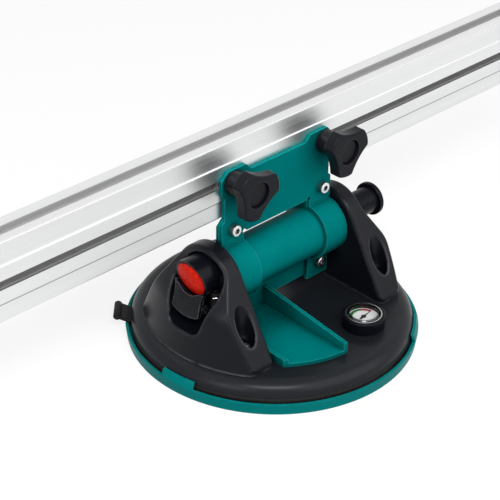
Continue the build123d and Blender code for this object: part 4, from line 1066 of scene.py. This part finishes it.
def hose_sleeve():
    low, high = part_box("vacuum_hose")
    bottom, top = low.z / MM, high.z / MM
    waist = HOSE_OUTER - HOSE_WAIST
    outline = [
        (HOSE_BORE, bottom + HOSE_ROUND), (HOSE_BORE + HOSE_ROUND, bottom),
        (HOSE_OUTER - HOSE_ROUND, bottom), (HOSE_OUTER, bottom + HOSE_ROUND),
        (HOSE_OUTER, bottom + BARB_REACH), (waist, bottom + BARB_TAPER),
        (waist, top - BARB_TAPER), (HOSE_OUTER, top - BARB_REACH),
        (HOSE_OUTER, top - HOSE_ROUND), (HOSE_OUTER - HOSE_ROUND, top),
        (HOSE_BORE + HOSE_ROUND, top), (HOSE_BORE, top - HOSE_ROUND),
        (HOSE_BORE, bottom + HOSE_ROUND),
    ]
    sleeve = lathe(outline, HOSE_STEPS)
    centre = centre_mm("vacuum_hose")
    move(sleeve, (centre.x, centre.y, 0))
    return sleeve


rubber_sleeve = finished_piece("rubber_sleeve", hose_sleeve(), rubber, "cup")
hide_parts("vacuum_hose")
print("sleeve faces:", len(rubber_sleeve.data.polygons))

# %% [markdown]
# ## The springs
# Two coil springs sit out of sight: one brings the pump's plunger back, the other the red button.
# Stacked rings would be quicker, but they aren't one wire. So a small ring, as thick as the wire, is
# spun about the spring's axis and lifted at every step.

# %% Coils of wire
WIRE_SIDES = 10
TURN_STEPS = 24


def coil_spring(node, wire, turns):
    """A helix of round wire that fills the box of a spring along X."""
    low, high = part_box(node)
    centre = centre_mm(node)
    length = (high.x - low.x) / MM
    radius = ((high.y - low.y) / MM - wire) / 2
    steps = turns * TURN_STEPS
    coil = bmesh.new()
    bmesh.ops.create_circle(coil, cap_ends=False, segments=WIRE_SIDES, radius=wire / 2)
    turn(coil, math.pi / 2, "X")
    move(coil, (radius, 0, wire / 2))
    bmesh.ops.spin(
        coil, geom=coil.verts[:] + coil.edges[:], cent=(0, 0, 0), axis=(0, 0, 1),
        dvec=(0, 0, (length - wire) / steps), angle=2 * math.pi * turns, steps=steps, use_merge=False,
    )
    open_ends = [edge for edge in coil.edges if edge.is_boundary]
    bmesh.ops.holes_fill(coil, edges=open_ends, sides=0)
    bmesh.ops.recalc_face_normals(coil, faces=coil.faces)
    turn(coil, math.pi / 2, "Y")
    move(coil, (low.x / MM, centre.y, centre.z))
    return coil


print("faces in one turn of wire:", WIRE_SIDES * TURN_STEPS)

# %% [markdown]
# A solid spring can't shorten. Each coil is left at its full length here: what its joint's stroke
# leaves of that length, less a little, is worked out, but the coil is not squashed as the joint moves.

# %% Springs
SPARE_SQUASH = 0.01


def stroke(joint):
    """How far a sliding joint travels, in metres."""
    joints = frame["record"]["behaviour"]["joints"]
    first, last = next(item["range_m"] for item in joints if item["name"] == joint)
    return last - first


def squashed_spring(name, node, wire, turns, joint):
    """A spring piece at its full length, with a mesh of its own. What the joint's stroke leaves of its
    length is worked out, but not used.
    """
    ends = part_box(node)
    length = ends[1].x - ends[0].x
    piece = finished_piece(name, coil_spring(node, wire, turns), zinc, "cup")
    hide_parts(node)
    keep = (length - stroke(joint)) / length - SPARE_SQUASH
    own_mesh(piece)
    return piece


springs = [
    squashed_spring(
        "plunger_coil", "return_spring", wire=1.6, turns=6, joint="plunger_press"
    ),
    squashed_spring(
        "button_coil", "button_spring", wire=0.9, turns=6, joint="button_press"
    ),
]
print("springs:", [len(spring.data.polygons) for spring in springs])

# %% [markdown]
# ## Every piece gets its finish
# The CAD nodes stay as they are. Each one only takes a new material in its slot.

# %% Finishes on the nodes
FINISHES = {
    teal_coat: ["handle_tube", "front_plate", "back_plate"],
    cover_teal: ["pad_cover"],
    tower_black: ["tower_left", "tower_right"],
    lever_black: ["release_lever"],
    lit_base_black: ["base_body"],
    knob_black: ["knob_left_body", "knob_right_body"],
    shaded_cap_black: ["knob_left_cap", "knob_right_cap"],
    pump_black: [
        "valve_housing", "pump_head", "plunger_rod", "plunger_cap", "pump_piston", "gauge_case",
    ],
    rubber: ["rubber_pad", "vacuum_hose", "piston_seal"],
    button_red: ["release_button"],
    aluminium: ["rail_profile"],
    zinc: [
        "tower_screws", "clamp_nuts", "lever_pin", "return_spring", "button_spring",
        "knob_left_stud", "knob_right_stud", "knob_left_nut", "knob_right_nut",
    ],
    screw_bright: ["clamp_screws"],
    chrome: ["hose_clip"],
    bezel_black: ["gauge_bezel"],
    brass: ["check_valve"],
    dial_card: ["gauge_dial"],
    needle_black: ["gauge_needle"],
    lens_clear: ["gauge_lens"],
}
for material, names in FINISHES.items():
    for name in names:
        data = nodes[name].data
        data.materials.clear()
        data.materials.append(material)
print("finished nodes:", sum(len(names) for names in FINISHES.values()), "of", len(nodes))
